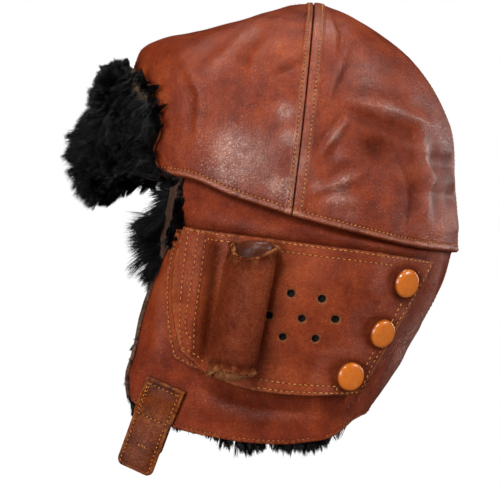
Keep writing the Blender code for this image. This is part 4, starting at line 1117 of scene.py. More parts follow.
def crown_stitches():
    run = np.linspace(0.0, 1.0, 900) * 0.968
    start = run > 0.035
    azimuth = np.linspace(0.006, math.pi - 0.006, 1600)
    sine, cosine = np.sin(azimuth), np.cos(azimuth)
    for side, _ in SIDES:
        for sign, row in zip((-1, 1), CROSS_ROWS):
            # Beside the centre seam
            across = np.full(run.shape, 1e-3)
            for _ in range(3):
                wide = np.linalg.norm(crown_steps(across, run * sign)[0], axis=-1)
                across = CENTRE_ROW * 2 * CROWN_STEP / wide
            crown_row(across[start], (run * sign)[start], side, 3 + sign)
            # Beside the cross seam
            along = np.full(run.shape, sign * 1e-3)
            for _ in range(3):
                long = np.linalg.norm(crown_steps(run, along)[1], axis=-1)
                along = sign * row * 2 * CROWN_STEP / long
            crown_row(run[start], along[start], side, 8 + sign)
        # Above the hem
        inward = crown_surface(sine, -cosine) - crown_surface((1 - HEM_STEP) * sine, -(1 - HEM_STEP) * cosine)
        share = 1 - HEM_ROW * HEM_STEP / np.linalg.norm(inward, axis=-1)
        crown_row(share * sine, -share * cosine, side, 17)


# Curtain

SIDE_FOLDS = (
    ("ridge", 1.00, 5.0, ((441, 262), (430, 298), (404, 350), (373, 400))),
    ("ridge", -1.10, 5.0, ((449, 258), (439, 298), (413, 352), (381, 408))),
    ("ridge", 0.80, 5.0, ((456, 262), (447, 296), (424, 348), (392, 400))),
    ("fold", 0.60, 5.0, ((300, 226), (352, 238), (418, 251))),
    ("ridge", 0.50, 7.0, ((196, 214), (246, 226), (302, 238))),
    ("ridge", -0.60, 8.0, ((150, 290), (146, 330), (138, 362))),
    ("ridge", 0.50, 8.0, ((162, 270), (158, 320), (160, 360))),
    ("ridge", 0.60, 9.0, ((196, 396), (250, 414), (312, 416))),
    ("ridge", -0.60, 7.0, ((212, 388), (262, 403), (320, 405))),
)
SEAM_ROW = 3.4 * MM
EDGE_ROW = 1.9 * MM
TAPE_HALF = 5 * MM
CURTAIN_LENGTH = 0.205
CURTAIN_HEIGHT = 0.125


def curtain_skin(azimuth, z, side, low=None, front=None):
    """Points, normals and painted shares of the curtain's leather."""
    base, normal = curtain_at(azimuth, z)
    radius = np.hypot(base[..., 0], base[..., 1] - CROWN_AXIS_Y)
    back = (math.pi - azimuth) * radius
    below = z - low if low is not None else np.full(z.shape, 1.0)
    ahead = (azimuth - front) * radius if front is not None else np.full(z.shape, 1.0)
    places = view_of(base) + (0.0 if side == 1 else 7.0)
    fold = 1.7 * folds(places, SIDE_FOLDS)
    away = ease(np.minimum(back - 3 * MM, np.minimum(below, ahead)) / (8 * MM))
    broad = lumps(base, side, (0.50, 34, 21), (0.20, 12, 23))
    neck = ease((base[..., 1] - 0.050) / 0.030) * ease((0.030 - z) / 0.05)
    creases = 0.9 * neck * rough_noise(base * np.array([1.0, 1.0, 0.35]), 11 * MM, 27 + side)
    raised = fade(back - SEAM_ROW - 0.8 * MM, 1.3 * MM)
    sunk = fade(back, 1.0 * MM)
    stitched = np.maximum(hump(back - SEAM_ROW, 0.55 * MM), 0.8 * hump(below - EDGE_ROW, 0.5 * MM))
    edge = np.maximum(fade(below, 0.9 * MM), fade(ahead, 0.9 * MM))
    pucker = np.exp(-np.abs(below - EDGE_ROW) / (4 * MM)) * noise(base, 8 * MM, 25 + side)
    lift = (
        (broad + creases) * away + 0.6 * raised - 1.3 * sunk - 0.22 * stitched - 0.55 * edge + 0.25 * pucker
    )
    lift = np.clip(lift * MM + fold * mix(0.3, 1.0, away), -1.2 * MM, 1.6 * MM)
    # Painted shadow: darker under the crown's hem, beside the cover's edges and under the roll's lower end.
    under_hem = hem_height(base[..., 1]) - z
    shade = 0.85 * fade(under_hem, 3.5 * MM)
    flat = np.stack([base[..., 1], base[..., 2]], -1)
    beside = np.min([line_distance(flat, line)[0] for line in COVER_EDGES], axis=0)
    shade = np.maximum(shade, 0.75 * np.exp(-beside / (2.4 * MM)))
    places = view_of(base)
    shade = np.maximum(shade, 0.40 * hump(np.hypot((places[..., 0] - 227) / 1.4, places[..., 1] - 394), 15))
    # Painted shade also in the seam groove, along the stitch rows, at the edges and in creases; the gloss
    # share paints a pale sheen at the neck and on ridges.
    paint = {
        "dark": np.clip(1.1 * sunk + 0.3 * stitched + 0.3 * edge + shade - 0.12 * fold / MM, 0, 1),
        "wear": np.clip(0.5 * hump(below - 0.8 * MM, 0.8 * MM) + 0.03, 0, 1),
        "gloss": np.clip(0.9 * neck + 0.3 * raised + 0.3 * fold / MM, 0, 1.2),
    }
    return base + normal * lift[..., None], normal, lift, paint


def spaced(total, fine, coarse, edge):
    """Shares of a length, close together for a few mm at its ends."""
    steps = [0.0]
    while steps[-1] < total / 2:
        steps.append(steps[-1] + mix(fine, coarse, float(ease((steps[-1] - edge / 2) / edge))))
    half = np.array(steps) / steps[-1] / 2
    return np.concatenate([half, 1 - half[::-1][1:]])


def curtain_leather():
    sizes = CURTAIN_LENGTH, CURTAIN_HEIGHT
    lengths, heights = (spaced(size, 0.5 * MM, 1.25 * MM, 6 * MM) for size in sizes)
    azimuth, z = curtain_place(*grid(lengths, heights))
    low, front = z[:, :1], azimuth[:1, :]
    for side, label in SIDES:
        point, normal, lift, paint = curtain_skin(azimuth, z, side, low, front)
        inner = curtain_surface(azimuth, z) + normal * (lift - LEATHER)[..., None]
        point[-1, :, 0], inner[-1, :, 0] = SEAM_HALF, SEAM_HALF
        obj = sheet("leather_side_" + label, point, inner, "side", "helmet", side, paint)
        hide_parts("side_panel_" + label)
        row = np.linspace(0.004, 0.996, 1300)
        full = curtain_place(row, np.ones(row.shape))[1] - curtain_place(row, np.zeros(row.shape))[1]
        row_azimuth, row_z = curtain_place(row, EDGE_ROW / full)
        point, normal = curtain_skin(row_azimuth, row_z, side)[:2]
        STITCHES.add("thread_curtain", "helmet", side, point, normal, 2.6 * MM, 0.58, 0.15 * MM, 0.8, 31)
        rise = np.linspace(0.02, 0.90, 500)
        full, row_z = curtain_place(np.ones(rise.shape), rise)
        radius = curtain_surface(full, row_z)[..., 1] - CROWN_AXIS_Y
        point, normal = curtain_skin(math.pi - SEAM_ROW / radius, row_z, side)[:2]
        STITCHES.add("thread_curtain", "helmet", side, point, normal, seed=33)


def back_tape():
    """The tape under the seam at the back of the neck."""
    turns, heights = np.linspace(-1, 1, 19), np.linspace(0.012, 1.046, 108)
    turn, height = grid(turns, heights)
    z = curtain_place(np.ones(height.shape), height)[1]
    radius = curtain_surface(np.full(z.shape, math.pi), z)[..., 1] - CROWN_AXIS_Y
    azimuth = math.pi - turn * TAPE_HALF / radius
    base, normal = curtain_at(azimuth, z)
    lift = -(LEATHER + 0.10 * MM) - 0.5 * MM * fade(np.abs(turn) * TAPE_HALF, 2.2 * MM)
    obj = sheet("cloth_back_seam_tape", base + normal * lift[..., None],
        base + normal * (lift - 0.45 * MM)[..., None], "cloth", "helmet")
    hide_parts("back_seam_tape")


def binding():
    """The dark suede strip along the front edge, turned round it."""
    shares, heights = np.linspace(0, BINDING_REACH, 15), np.linspace(0, 1, 190)
    share, height = grid(shares, heights)
    strips = [curtain_place(np.zeros(heights.shape), heights, part, BINDING_INSET) for part in shares]
    azimuth, z = np.stack([strip[0] for strip in strips]), np.stack([strip[1] for strip in strips])
    base, normal = curtain_at(azimuth, z)
    for side, label in SIDES:
        part = share / BINDING_REACH
        lift = 0.35 * np.sin(math.pi * part) - 0.5 * fade(part, 0.12) - 0.35 * fade(1 - part, 0.1)
        lift = lift + 0.30 * noise(base, 6 * MM, 41 + side) - 0.2 * hump(part - 0.8, 0.05)
        lift = lift * MM
        outer = base + normal * lift[..., None]
        inner = base + normal * (lift - LEATHER)[..., None]
        # Painted shade in the groove towards the strip's back edge.
        paint = {
            "wear": np.clip(0.5 * fade(part, 0.25) + 0.10 + 0.5 * ease((0.62 - height) / 0.25), 0, 1),
            "raw": 0.30 * ease((0.60 - height) / 0.2) * fade(part, 0.5),
            "dark": 0.5 * hump(part - 0.8, 0.06), "gloss": 0,
        }
        obj = sheet("suede_binding_" + label, outer, inner, "strip", "helmet", side, paint)
        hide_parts("edge_binding_" + label)


# Receiver pockets

def strip_front(up):
    """The front edge of a cover's sewn strip, which bows forwards."""
    y, z = on_line(STRIP_LOW, STRIP_TOP, up)
    return y - STRIP_BOW * 4 * up * (1 - up), z


def cover_edges():
    """The outline of a cover in the side view, as lines of (y, z)."""
    along, up = np.linspace(0, 1, 60), np.linspace(0, 1, 30)
    top = np.stack(cover_place(along, np.ones(60)), -1)
    low = np.stack(cover_place(along, np.zeros(60)), -1)
    back = np.stack(cover_place(np.ones(30), up), -1)
    front = np.stack(strip_front(up), -1)
    strip_low, strip_top = np.linspace(STRIP_LOW, HINGE_LOW, 8), np.linspace(STRIP_TOP, HINGE_TOP, 8)
    return [np.concatenate([strip_top, top]), np.concatenate([strip_low, low]), back, front]


COVER_EDGES = cover_edges()
HOLE_PLACES = [(HOLE_CENTRE[0] + a * HOLE_PITCH, HOLE_CENTRE[1] + u * HOLE_ROW) for a, u in HOLE_SHARES]
COVER_WIDTH = 0.118
COVER_HEIGHT = 0.078
COVER_PITCH = 2.9 * MM
BASE_ROW = 1.6 * MM
# Rows of thread on a cover, drawn in the side view
COVER_ROWS_FIXED = (
    ((188.5, 230), (184, 262), (180.5, 300), (179.5, 326), (181.5, 345)),
    ((198.5, 231), (194.5, 262), (189, 296), (185, 322), (186.5, 333), (192, 340)),
    ((205.5, 238), (202.5, 262), (198.5, 292), (194.5, 322), (193.5, 350)),
    ((188.5, 230), (197, 231), (206, 232.5)),
    ((181, 346), (192, 353), (200, 358)),
)
COVER_ROWS_MOVING = (
    ((207.5, 232.5), (232, 236.5)),
    ((206.5, 238.5), (214, 240), (231, 242)),
    ((281, 242.5), (340, 250), (400, 258.5), (429, 262.5)),
    ((279, 251), (330, 257.5), (394, 265.5)),
    ((432, 264), (424, 280), (410, 303), (389, 336), (372, 366), (361, 389.5)),
    ((419, 270), (418.5, 276), (411, 290)),
    ((403, 302), (394, 318), (391, 323)),
    ((374, 351), (368, 362), (366, 366)),
    ((256, 387.5), (285, 391.5), (330, 393.5), (359, 393)),
    ((258, 379), (290, 384), (320, 386), (337, 386.5)),
    ((337, 386.5), (337, 392.5)),
    ((201, 359), (204, 363)),
)
COVER_FOLDS = (
    ("ridge", -0.55, 6.0, ((216, 250), (211, 300), (203, 350))),
    ("ridge", 0.35, 5.0, ((222, 250), (216, 300), (208, 350))),
    ("ridge", -0.35, 4.0, ((278, 262), (268, 300), (256, 368))),
    ("ridge", 0.45, 7.0, ((372, 300), (385, 288), (401, 297))),
    ("spot", -0.5, 9.0, ((398, 297), (402, 299))),
    ("ridge", 0.40, 8.0, ((345, 345), (352, 352), (366, 357))),
    ("fold", 0.35, 6.0, ((300, 345), (320, 352), (338, 350))),
    ("spot", 0.45, 12.0, ((340, 274), (344, 276))),
)
# The valley to the left of the roll, in the side view, where shade is painted.
COVER_VALLEY = ((215, 248), (209, 300), (202, 352))


def cover_skin(y, z, side):
    """Points and painted shares of a cover's leather; the side picks its lumps."""
    along, up = cover_shares(y, z)
    lift = cover_lift(np.maximum(along, 0), up)
    base = side_point(y, z, lift)
    places = view_of(base) + (0.0 if side == 1 else 6.0)
    flat = np.stack([y, z], -1)
    rim = np.min([line_distance(flat, line)[0] for line in COVER_EDGES], axis=0)
    sewn = [line_distance(view_of(base), row)[0] for row in COVER_ROWS_FIXED + COVER_ROWS_MOVING]
    stitched = hump(np.min(sewn, axis=0), 1.1)
    fold = 1.6 * folds(places, COVER_FOLDS)
    # Painted shade in the valley to the left of the roll.
    valley = hump(line_distance(places, COVER_VALLEY)[0], 8.0)
    away = ease((rim - 2 * MM) / (7 * MM))
    bumpy = lumps(base, side, (0.35, 21, 51), (0.14, 8, 53))
    hinge = hump(along * 0.115 - 0.5 * MM, 1.6 * MM)
    extra = bumpy * away - 0.20 * stitched - 0.55 * fade(rim, 0.9 * MM) - 0.25 * hinge
    extra = extra + 0.16 * noise(base, 5 * MM, 55 + side) * np.exp(-rim / (3 * MM))
    extra = np.clip(extra * MM + fold * mix(0.3, 1.0, away), -0.9 * MM, 1.2 * MM)
    holes, caps = near(y, z, HOLE_PLACES), near(y, z, SNAP_PLACES)
    beside_roll = line_distance(flat, (ROLL_LOW, ROLL_TOP))[0]
    sheen = 0.2 * ease(noise(base, 26 * MM, 57) + 0.3)
    # Painted shade: darker in the valley, round the roll and the caps, along the hinge, the rim and the
    # stitch rows, round the holes and in creases. The gloss share paints a pale sheen round the caps and in
    # broad patches.
    paint = {
        "dark": np.clip(
            0.30 * stitched + 0.5 * hump(holes - HOLE_RADIUS, 0.9 * MM)
            + 0.55 * hump(caps - CAP_RADIUS, 1.8 * MM) + 0.45 * hump(beside_roll - ROLL_RADIUS, 3.0 * MM)
            - 0.10 * fold / MM + 0.35 * hinge + 0.90 * valley + 0.8 * hump(rim, 0.5 * MM), 0, 1),
        "wear": np.clip(0.55 * hump(rim - 1.0 * MM, 0.7 * MM) + 0.05, 0, 1),
        "raw": np.clip(0.35 * hump(holes - HOLE_RADIUS, 0.35 * MM), 0, 1),
        "gloss": np.clip(0.35 * hump(caps - 13 * MM, 4 * MM) + sheen, 0, 1),
    }
    return side_point(y, z, lift + extra), paint


def rows_on(rows, body, name, side):
    """Thread on a cover, along lines drawn in the side view."""
    for index, row in enumerate(rows):
        y, z = from_view(row, over_cover)
        lengths = np.concatenate([[0], np.cumsum(np.hypot(np.diff(y), np.diff(z)))])
        run = np.linspace(0, lengths[-1], max(int(lengths[-1] / (0.4 * MM)), 4))
        y, z = np.interp(run, lengths, y), np.interp(run, lengths, z)
        point, normal = cover_skin(y, z, side)[0], side_normal(y, z)
        STITCHES.add(name, body, side, point, normal, COVER_PITCH, 0.76, 0.30 * MM, 0.7, 60 + index)


def pocket_leather():
    cover_along = spaced(COVER_WIDTH, 0.55 * MM, 0.85 * MM, 6 * MM)
    up_lines = spaced(COVER_HEIGHT, 0.5 * MM, 0.85 * MM, 6 * MM)
    share, up = grid(np.linspace(0, 1, 20), up_lines)
    strip_y, strip_z = on_line(strip_front(up), on_line(HINGE_LOW, HINGE_TOP, up), share)
    share, up = grid(cover_along[1:], up_lines)
    cover_y, cover_z = cover_place(share, up)
    y, z = np.concatenate([strip_y, cover_y]), np.concatenate([strip_z, cover_z])
    keep = np.ones((y.shape[0] - 1, y.shape[1] - 1), bool)
    for centre in HOLE_PLACES:
        gap = np.hypot(y - centre[0], z - centre[1])
        inside = gap < HOLE_RADIUS
        open_cells = inside[:-1, :-1] | inside[1:, :-1] | inside[:-1, 1:] | inside[1:, 1:]
        keep &= ~open_cells
        rim = np.zeros(gap.shape, bool)
        for a, b in ((0, 0), (1, 0), (0, 1), (1, 1)):
            rim[a:a + open_cells.shape[0], b:b + open_cells.shape[1]] |= open_cells
        rim &= ~inside
        scale = np.where(rim, HOLE_RADIUS / np.maximum(gap, 1e-9), 1.0)
        y, z = centre[0] + (y - centre[0]) * scale, centre[1] + (z - centre[1]) * scale
    for side, label in SIDES:
        outer, paint = cover_skin(y, z, side)
        normal = side_normal(y, z)
        inner = outer - normal * LEATHER
        obj = sheet("leather_cover_" + label, outer, inner, "cover", None, side, paint, keep)
        middle = side_point(*on_line(HINGE_LOW, HINGE_TOP, 0.5), 4 * MM)
        axis = unit(over_cover(*HINGE_TOP) - over_cover(*HINGE_LOW))
        way = over_cover(*cover_place(0.05, 0.5)) - middle
        way = unit(way - axis * (way @ axis))
        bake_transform(obj)
        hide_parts("pocket_hinge_strip_" + label, "pocket_cover_" + label)
        rows_on(COVER_ROWS_FIXED, "helmet", "thread_hinge_" + label, side)
        rows_on(COVER_ROWS_MOVING, "pocket_cover_" + label, "thread_cover_" + label, side)
        # The cloth behind the leather
        cloth_along, cloth_up = np.linspace(0.055, 0.97, 60), np.linspace(0.045, 0.955, 44)
        share, up = grid(cloth_along, cloth_up)
        cloth_y, cloth_z = cover_place(share, up)
        face = cover_lift(share, up)
        quilt = 0.10 * MM * noise(level(cloth_y, cloth_z), 9 * MM, 59)
        top = side_point(cloth_y, cloth_z, face - LEATHER - GAP + quilt)
        bottom = side_point(cloth_y, cloth_z, face - LEATHER - GAP - COVER_LINING + quilt)
        # Painted shade on the cloth behind the cover's holes.
        holes = near(cloth_y, cloth_z, HOLE_PLACES)
        behind = {"dark": fade(holes - 3 * MM, 3 * MM)}
        cloth = sheet("cover_cloth_" + label, top, bottom, "cloth", "pocket_cover_" + label, side, behind)
        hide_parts("cover_lining_" + label)


def base_place(share, up):
    """(y, z) of the leather under a cover, at shares back along it and up it."""
    back = on_line(COVER_BACK_LOW, COVER_BACK_TOP, up)[0] - BASE_BACK_INSET
    y = mix(strip_front(up)[0] - BASE_MARGIN, back, share)
    along = cover_shares(y, np.zeros(y.shape))[0]
    hem = cover_place(np.maximum(along, 0), 0)[1]
    low = hem - BASE_MARGIN * (1 - share) + FRONT_LIFT * ease(-along / FRONT_SHARE)
    return y, mix(low, cover_place(along, 1)[1] - BASE_TOP_INSET, up)


def base_leather():
    """The leather under a cover, sewn to the curtain; its edge shows round the cover."""
    shares = spaced(COVER_WIDTH, 0.6 * MM, 1.6 * MM, 6 * MM)
    ups = spaced(COVER_HEIGHT, 0.6 * MM, 1.4 * MM, 6 * MM)
    share, up = grid(shares, ups)
    y, z = base_place(share, up)
    flat = level(y, z)
    rim = np.minimum(np.minimum(share, 1 - share) * COVER_WIDTH, np.minimum(up, 1 - up) * COVER_HEIGHT)
    for side, label in SIDES:
        lift = BASE_TOP - 0.4 * MM * fade(rim, 0.8 * MM) - 0.12 * MM * hump(rim - BASE_ROW, 0.5 * MM)
        lift = lift + 0.10 * MM * noise(flat, 7 * MM, 61 + side)
        # Painted shade in the groove along the stitch row.
        paint = {
            "wear": np.clip(0.7 * hump(rim - 0.4 * MM, 0.8 * MM) + 0.1, 0, 1), "gloss": 0,
            "dark": 0.3 * hump(rim - BASE_ROW, 0.6 * MM),
        }
        outer, inner = side_point(y, z, lift), side_point(y, z, BASE_LIFT)
        obj = sheet("leather_base_" + label, outer, inner, "cover", "helmet", side, paint)
        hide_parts("pocket_base_" + label)
        inset_share, inset_up = BASE_ROW / COVER_WIDTH, BASE_ROW / COVER_HEIGHT
        line_share = np.concatenate([np.full(160, inset_share), np.linspace(inset_share, 0.30, 90)])
        line_up = np.concatenate([np.linspace(0.97, inset_up, 160), np.full(90, inset_up)])
        line_y, line_z = base_place(line_share, line_up)
        point = side_point(line_y, line_z, BASE_TOP)
        normal = unit(point - on_curtain(line_y, line_z))
        STITCHES.add("thread_base", "helmet", side, point, normal, 2.6 * MM, radius=0.24 * MM, pits=0.7,
            seed=71)


def smooth_loop(points, count):
    """A closed smooth line through points, with more points on it."""
    points = np.asarray(points, float)
    size = len(points)
    run = np.linspace(0, size, count, endpoint=False)
    index = run.astype(int)
    part = (run - index)[:, None]
    before, here = points[(index - 1) % size], points[index]
    there, after = points[(index + 1) % size], points[(index + 2) % size]
    return 0.5 * (2 * here + (there - before) * part + (2 * before - 5 * here + 4 * there - after) * part ** 2
                  + (3 * here - before - 3 * there + after) * part ** 3)


def loft(name, rings, look, body, side, paint=None, ring=False):
    """A closed body from rings shaped (rings, sides, 3): capped at its ends, or closed to a ring."""
    number = np.arange(rings.shape[0] * rings.shape[1]).reshape(rings.shape[:2])
    ahead, following = np.roll(number, -1, axis=1), np.roll(number, -1, axis=0)
    quads = np.stack([number, ahead, np.roll(ahead, -1, axis=0), following], -1)
    faces = [quads.reshape(-1, 4)] if ring else [quads[:-1].reshape(-1, 4), number[:1, ::-1], number[-1:]]
    points = mirrored(rings.reshape(-1, 3), side)
    values = {label: shares.reshape(-1) for label, shares in (paint or {}).items()}
    return build(name, points, outward(points, faces), look, body, values)


def roll_section(share, scale, count):
    """A ring across the roll at a share of its length."""
    loop = smooth_loop(ROLL_SHARES, count)
    y, z = on_line(ROLL_LOW, ROLL_TOP, share)
    lift = GAP + ROLL_RADIUS * mix(ROLL_MIDDLE_SHARE, loop[:, 1], scale)
    place = y + ROLL_RADIUS * loop[:, 0] * scale
    return over_cover(place, np.full(count, z), np.maximum(lift, 0.15 * MM))


def roll_line(shares, scale, count, index):
    """One of the lines along the roll, at shares of its length."""
    across, rise = smooth_loop(ROLL_SHARES, count)[index]
    y, z = on_line(ROLL_LOW, ROLL_TOP, shares)
    lift = GAP + ROLL_RADIUS * mix(ROLL_MIDDLE_SHARE, rise, scale)
    return over_cover(y + ROLL_RADIUS * across * scale, z, np.full(shares.shape, max(lift, 0.15 * MM)))


ROLL_LENGTH = 0.070
ROLL_LOW_SETBACK = 0.055
ROLL_TOP_SETBACK = 0.080


def roll_filling(side, label, pull, crest, way):
    """The filling of a roll, which shows at its ends."""
    clear = (LEATHER + GAP) / (ROLL_RADIUS * ROLL_MIDDLE_SHARE)
    over = ROLL_CORE_OVERHANG / ROLL_LENGTH
    runs = np.array([-1.0, -0.8, -0.2, 1.0, 2.6, 4.6, 7.0, 12.0]) * over
    dome = np.array([0.14, 0.45, 0.66, 0.80, 0.90, 0.96, 1.0, 1.0])
    places = np.concatenate([runs, 1 - runs[::-1]])
    sizes = np.concatenate([dome, dome[::-1]])
    core = []
    for place, size in zip(places, sizes):
        ring = roll_section(place, 1 - clear, len(crest))
        core.append(mix(ring.mean(axis=0), ring, size))
    core = np.stack(core)
    core = core + pull * (0.35 * MM * noise(core, 4 * MM, 95 + side))[..., None]
    proud = ease((places - 0.86) / 0.08)[:, None] * crest[None]
    proud = proud * (0.4 + 0.6 * ease((sizes - 0.3) / 0.5))[:, None]
    core = core + way.mean(axis=0)[None] * (2.2 * MM * proud)[..., None]
    rim = np.broadcast_to(sizes[:, None], core.shape[:2])
    below = np.broadcast_to((places < 0.5)[:, None], core.shape[:2])
    # Painted shade where the filling goes into the leather round it; the gloss share paints a faint sheen on
    # its upper end.
    paint = {
        "wear": np.where(below, 0.6, 0.05), "raw": np.where(below, 0.35, 0.0),
        "dark": np.clip(2.2 * (rim - 0.78), 0, 1),
        "gloss": np.where(below, 0.0, 0.22),
    }
    obj = loft("roll_filling_" + label, core, "core", "pocket_cover_" + label, side, paint)
    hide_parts("roll_core_" + label)


def leather_rolls():
    count = 96
    shares = spaced(ROLL_LENGTH, 0.45 * MM, 0.9 * MM, 5 * MM)
    wall = LEATHER / (ROLL_RADIUS * ROLL_MIDDLE_SHARE)
    rise = smooth_loop(ROLL_SHARES, count)[:, 1]
    crest = ease(rise / rise.max()) ** 0.7
    wave = 1 + 0.35 * np.sin(np.linspace(0, 4 * math.pi, count, endpoint=False) + 1.0)
    low, high = ROLL_LOW_SETBACK * crest * wave, 1 - ROLL_TOP_SETBACK * crest * wave[::-1]
    places = mix(low[None], high[None], shares[:, None])
    outer = np.stack([roll_line(places[:, index], 1.0, count, index) for index in range(count)], 1)
    inner = np.stack([roll_line(places[:, index], 1 - wall, count, index) for index in range(count)], 1)
    way = unit(outer - inner)
    end = np.minimum(shares, 1 - shares)[:, None] * ROLL_LENGTH * np.ones(count)
    height = np.linalg.norm(outer - on_curtain(outer[..., 1], outer[..., 2]), axis=-1)
    pull = unit(over_cover(*ROLL_TOP) - over_cover(*ROLL_LOW))
    for side, label in SIDES:
        bulges = lumps(outer, side, (0.30, 19, 81), (0.13, 7, 83))
        lip = 0.75 * hump(end - 1.4 * MM, 1.3 * MM) * (1 + noise(outer, 4 * MM, 85 + side))
        lip = lip - 0.7 * fade(end, 0.9 * MM)
        neck = -0.70 * hump(end - 5.0 * MM, 2.4 * MM)
        crinkle = 0.35 * noise(outer, 3.2 * MM, 87 + side) * np.exp(-end / (3.5 * MM))
        lift = (bulges + lip + neck + crinkle) * MM
        ragged = noise(outer * np.array([1, 1, 0.2]), 8 * MM, 89 + side)
        ragged = 0.7 * MM * ragged * np.exp(-end / (2.2 * MM))
        frayed, torn = 0.45 + 0.9 * noise(outer, 4 * MM, 91), ease(0.25 + 1.2 * noise(outer, 3.5 * MM, 93))
        skin = outer + way * lift[..., None] + pull * ragged[..., None]
        back = inner + pull * ragged[..., None]
        seat = ease(height / (14 * MM))
        # The dark share holds the roll's darker tone all over, painted shade low down beside the cover and in
        # the groove near each end, and darkening towards the ends. The gloss share paints a faint sheen
        # higher up.
        paint = {
            "wear": np.clip(1.5 * np.exp(-end / (2.4 * MM)) * frayed + 0.10, 0, 1),
            "dark": np.clip(
                0.50 + 0.40 * fade(height, 13 * MM) + 0.3 * hump(end - 5.5 * MM, 2.5 * MM)
                + 0.6 * np.exp(-end / (2.2 * MM)), 0, 1),
            "gloss": np.clip(0.12 * seat, 0, 1),
            "raw": np.clip(1.1 * np.exp(-end / (0.8 * MM)) * torn, 0, 1),
        }
        paint = {name: np.concatenate([shares, shares[::-1]]) for name, shares in paint.items()}
        rings = np.concatenate([skin, back[::-1]])
        obj = loft("leather_roll_" + label, rings, "cover", "pocket_cover_" + label, side, paint, True)
        declare(obj)
        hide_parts("roll_cover_" + label)
        roll_filling(side, label, pull, crest, way)


def lathe(name, profile, matrix, look, body, side, sides=40, paint=None):
    """A turned piece from a profile of (radius, height) that starts and ends on its axis."""
    profile = np.asarray(profile, float)
    turns = np.linspace(0, 2 * math.pi, sides, endpoint=False)
    radii, heights = profile[:, :1], np.repeat(profile[:, 1:], sides, 1)
    rings = np.stack([radii * np.cos(turns), radii * np.sin(turns), heights], -1)
    matrix = np.array(matrix)
    points = rings @ matrix[:3, :3].T + matrix[:3, 3]
    return loft(name, points, look, body, side, paint)


def facing(origin, normal, spin=0.0):
    turn = Vector(normal).to_track_quat("Z", "Y").to_matrix().to_4x4()
    return Matrix.Translation(Vector(origin)) @ turn @ Matrix.Rotation(spin, 4, "Z")


def rounded_profile(points, steps=5):
    """A profile with its corners softened."""
    points = np.asarray(points, float)
    made = [points[0]]
    for before, here, after in zip(points[:-2], points[1:-1], points[2:]):
        reach = min(np.linalg.norm(here - before), np.linalg.norm(after - here)) * 0.35
        start = here + (before - here) / np.linalg.norm(before - here) * reach
        end = here + (after - here) / np.linalg.norm(after - here) * reach
        for part in np.linspace(0, 1, steps):
            made.append((1 - part) ** 2 * start + 2 * part * (1 - part) * here + part ** 2 * end)
    made.append(points[-1])
    return np.array(made)


CAP_PROFILE = rounded_profile([
    (0.0001, 1.0), (0.35, 0.985), (0.70, 0.90), (0.88, 0.76), (0.96, 0.52), (1.0, 0.30), (0.99, 0.08),
    (0.90, 0.0), (0.0001, 0.0),
])
# Profiles of the fasteners' brass halves, in mm, as they stand on their seats
BRASS_PROFILES = {
    "socket": (
        (0.0001, 0), (5.6, 0), (6.0, 0.35), (6.0, 1.7), (5.6, 2.2), (4.3, 2.2), (3.8, 1.8),
        (3.8, 0.5), (0.0001, 0.5),
    ),
    "stud": (
        (0.0001, 0), (5.3, 0), (5.5, 0.25), (5.5, 0.6), (5.2, 0.8), (3.1, 0.8), (2.7, 1.0),
        (2.8, 1.6), (2.5, 1.8), (0.0001, 1.8),
    ),
}


def brass_half(name, kind, matrix, body, side, up=1):
    """A socket or stud of a press fastener. With up at -1 it hangs under its seat."""
    profile = rounded_profile(np.array(BRASS_PROFILES[kind]) * (MM, up * MM), 3)
    return lathe(name, profile, matrix, "brass", body, side)


def fasteners():
    for side, label in SIDES:
        for number, place in enumerate(SNAP_PLACES, 1):
            foot = on_curtain(*place)
            normal = unit(side_point(*place, CAP_RADIUS) - foot)
            top = float(cover_lift(*cover_shares(*place)))
            under = top - LEATHER - GAP - COVER_LINING - SOCKET_SEAT
            body = "pocket_cover_" + label
            seat = facing(foot + normal * (top + 0.1 * MM), normal, number * 1.3)
            profile = CAP_PROFILE * (CAP_RADIUS, CAP_HEIGHT)
            # Share of the painted shade at the cap's rim.
            rim = np.repeat(np.clip((CAP_PROFILE[:, 0] - 0.93) / 0.07, 0, 1)[:, None], 72, 1)
            cap = lathe("cap_%s_%d" % (label, number), profile, seat, "cap", body, side, 72, {"rim": rim})
            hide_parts("snap_cap_%s_%d" % (label, number))
            halves = (("socket", under, body, -1), ("stud", BASE_TOP + GAP, "helmet", 1))
            for kind, height, rides_on, up in halves:
                name = "%s_%s_%d" % (kind, label, number)
                piece = brass_half(name, kind, facing(foot + normal * height, normal), rides_on, side, up)
                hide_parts("snap_" + name)


def felt_rings():
    """The felt rings that hold the earphones."""
    low = BASE_TOP + BASE_LIFT
    middle, half = (RING_OUTER + RING_INNER) / 2, (RING_OUTER - RING_INNER) / 2
    turns = np.linspace(0, 2 * math.pi, 160, endpoint=False)
    sections = []
    for angle in np.linspace(0, 2 * math.pi, 26, endpoint=False):
        across = np.sign(math.cos(angle)) * abs(math.cos(angle)) ** 0.45 * half
        rise = (np.sign(math.sin(angle)) * abs(math.sin(angle)) ** 0.5 + 1) / 2 * RING_THICKNESS
        radius = middle + across
        y, z = RING_CENTRE[0] + radius * np.cos(turns), RING_CENTRE[1] + radius * np.sin(turns)
        rise = rise + 0.10 * MM * noise(np.stack([y, z, y * 0 + rise], -1), 2.5 * MM, 97)
        sections.append(side_point(y, z, low + np.maximum(rise, 0)))
    for side, label in SIDES:
        obj = loft("felt_ring_" + label, np.stack(sections), "felt", "helmet", side, None, True)
        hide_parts("receiver_ring_" + label)


# Fur

FUR_LAYERS = (0.0, 0.30, 0.62, 0.85, 1.0)
FUR_TAPER = (1.0, 0.95, 0.75, 0.45, 0.10)
FUR_SHARE = 7400


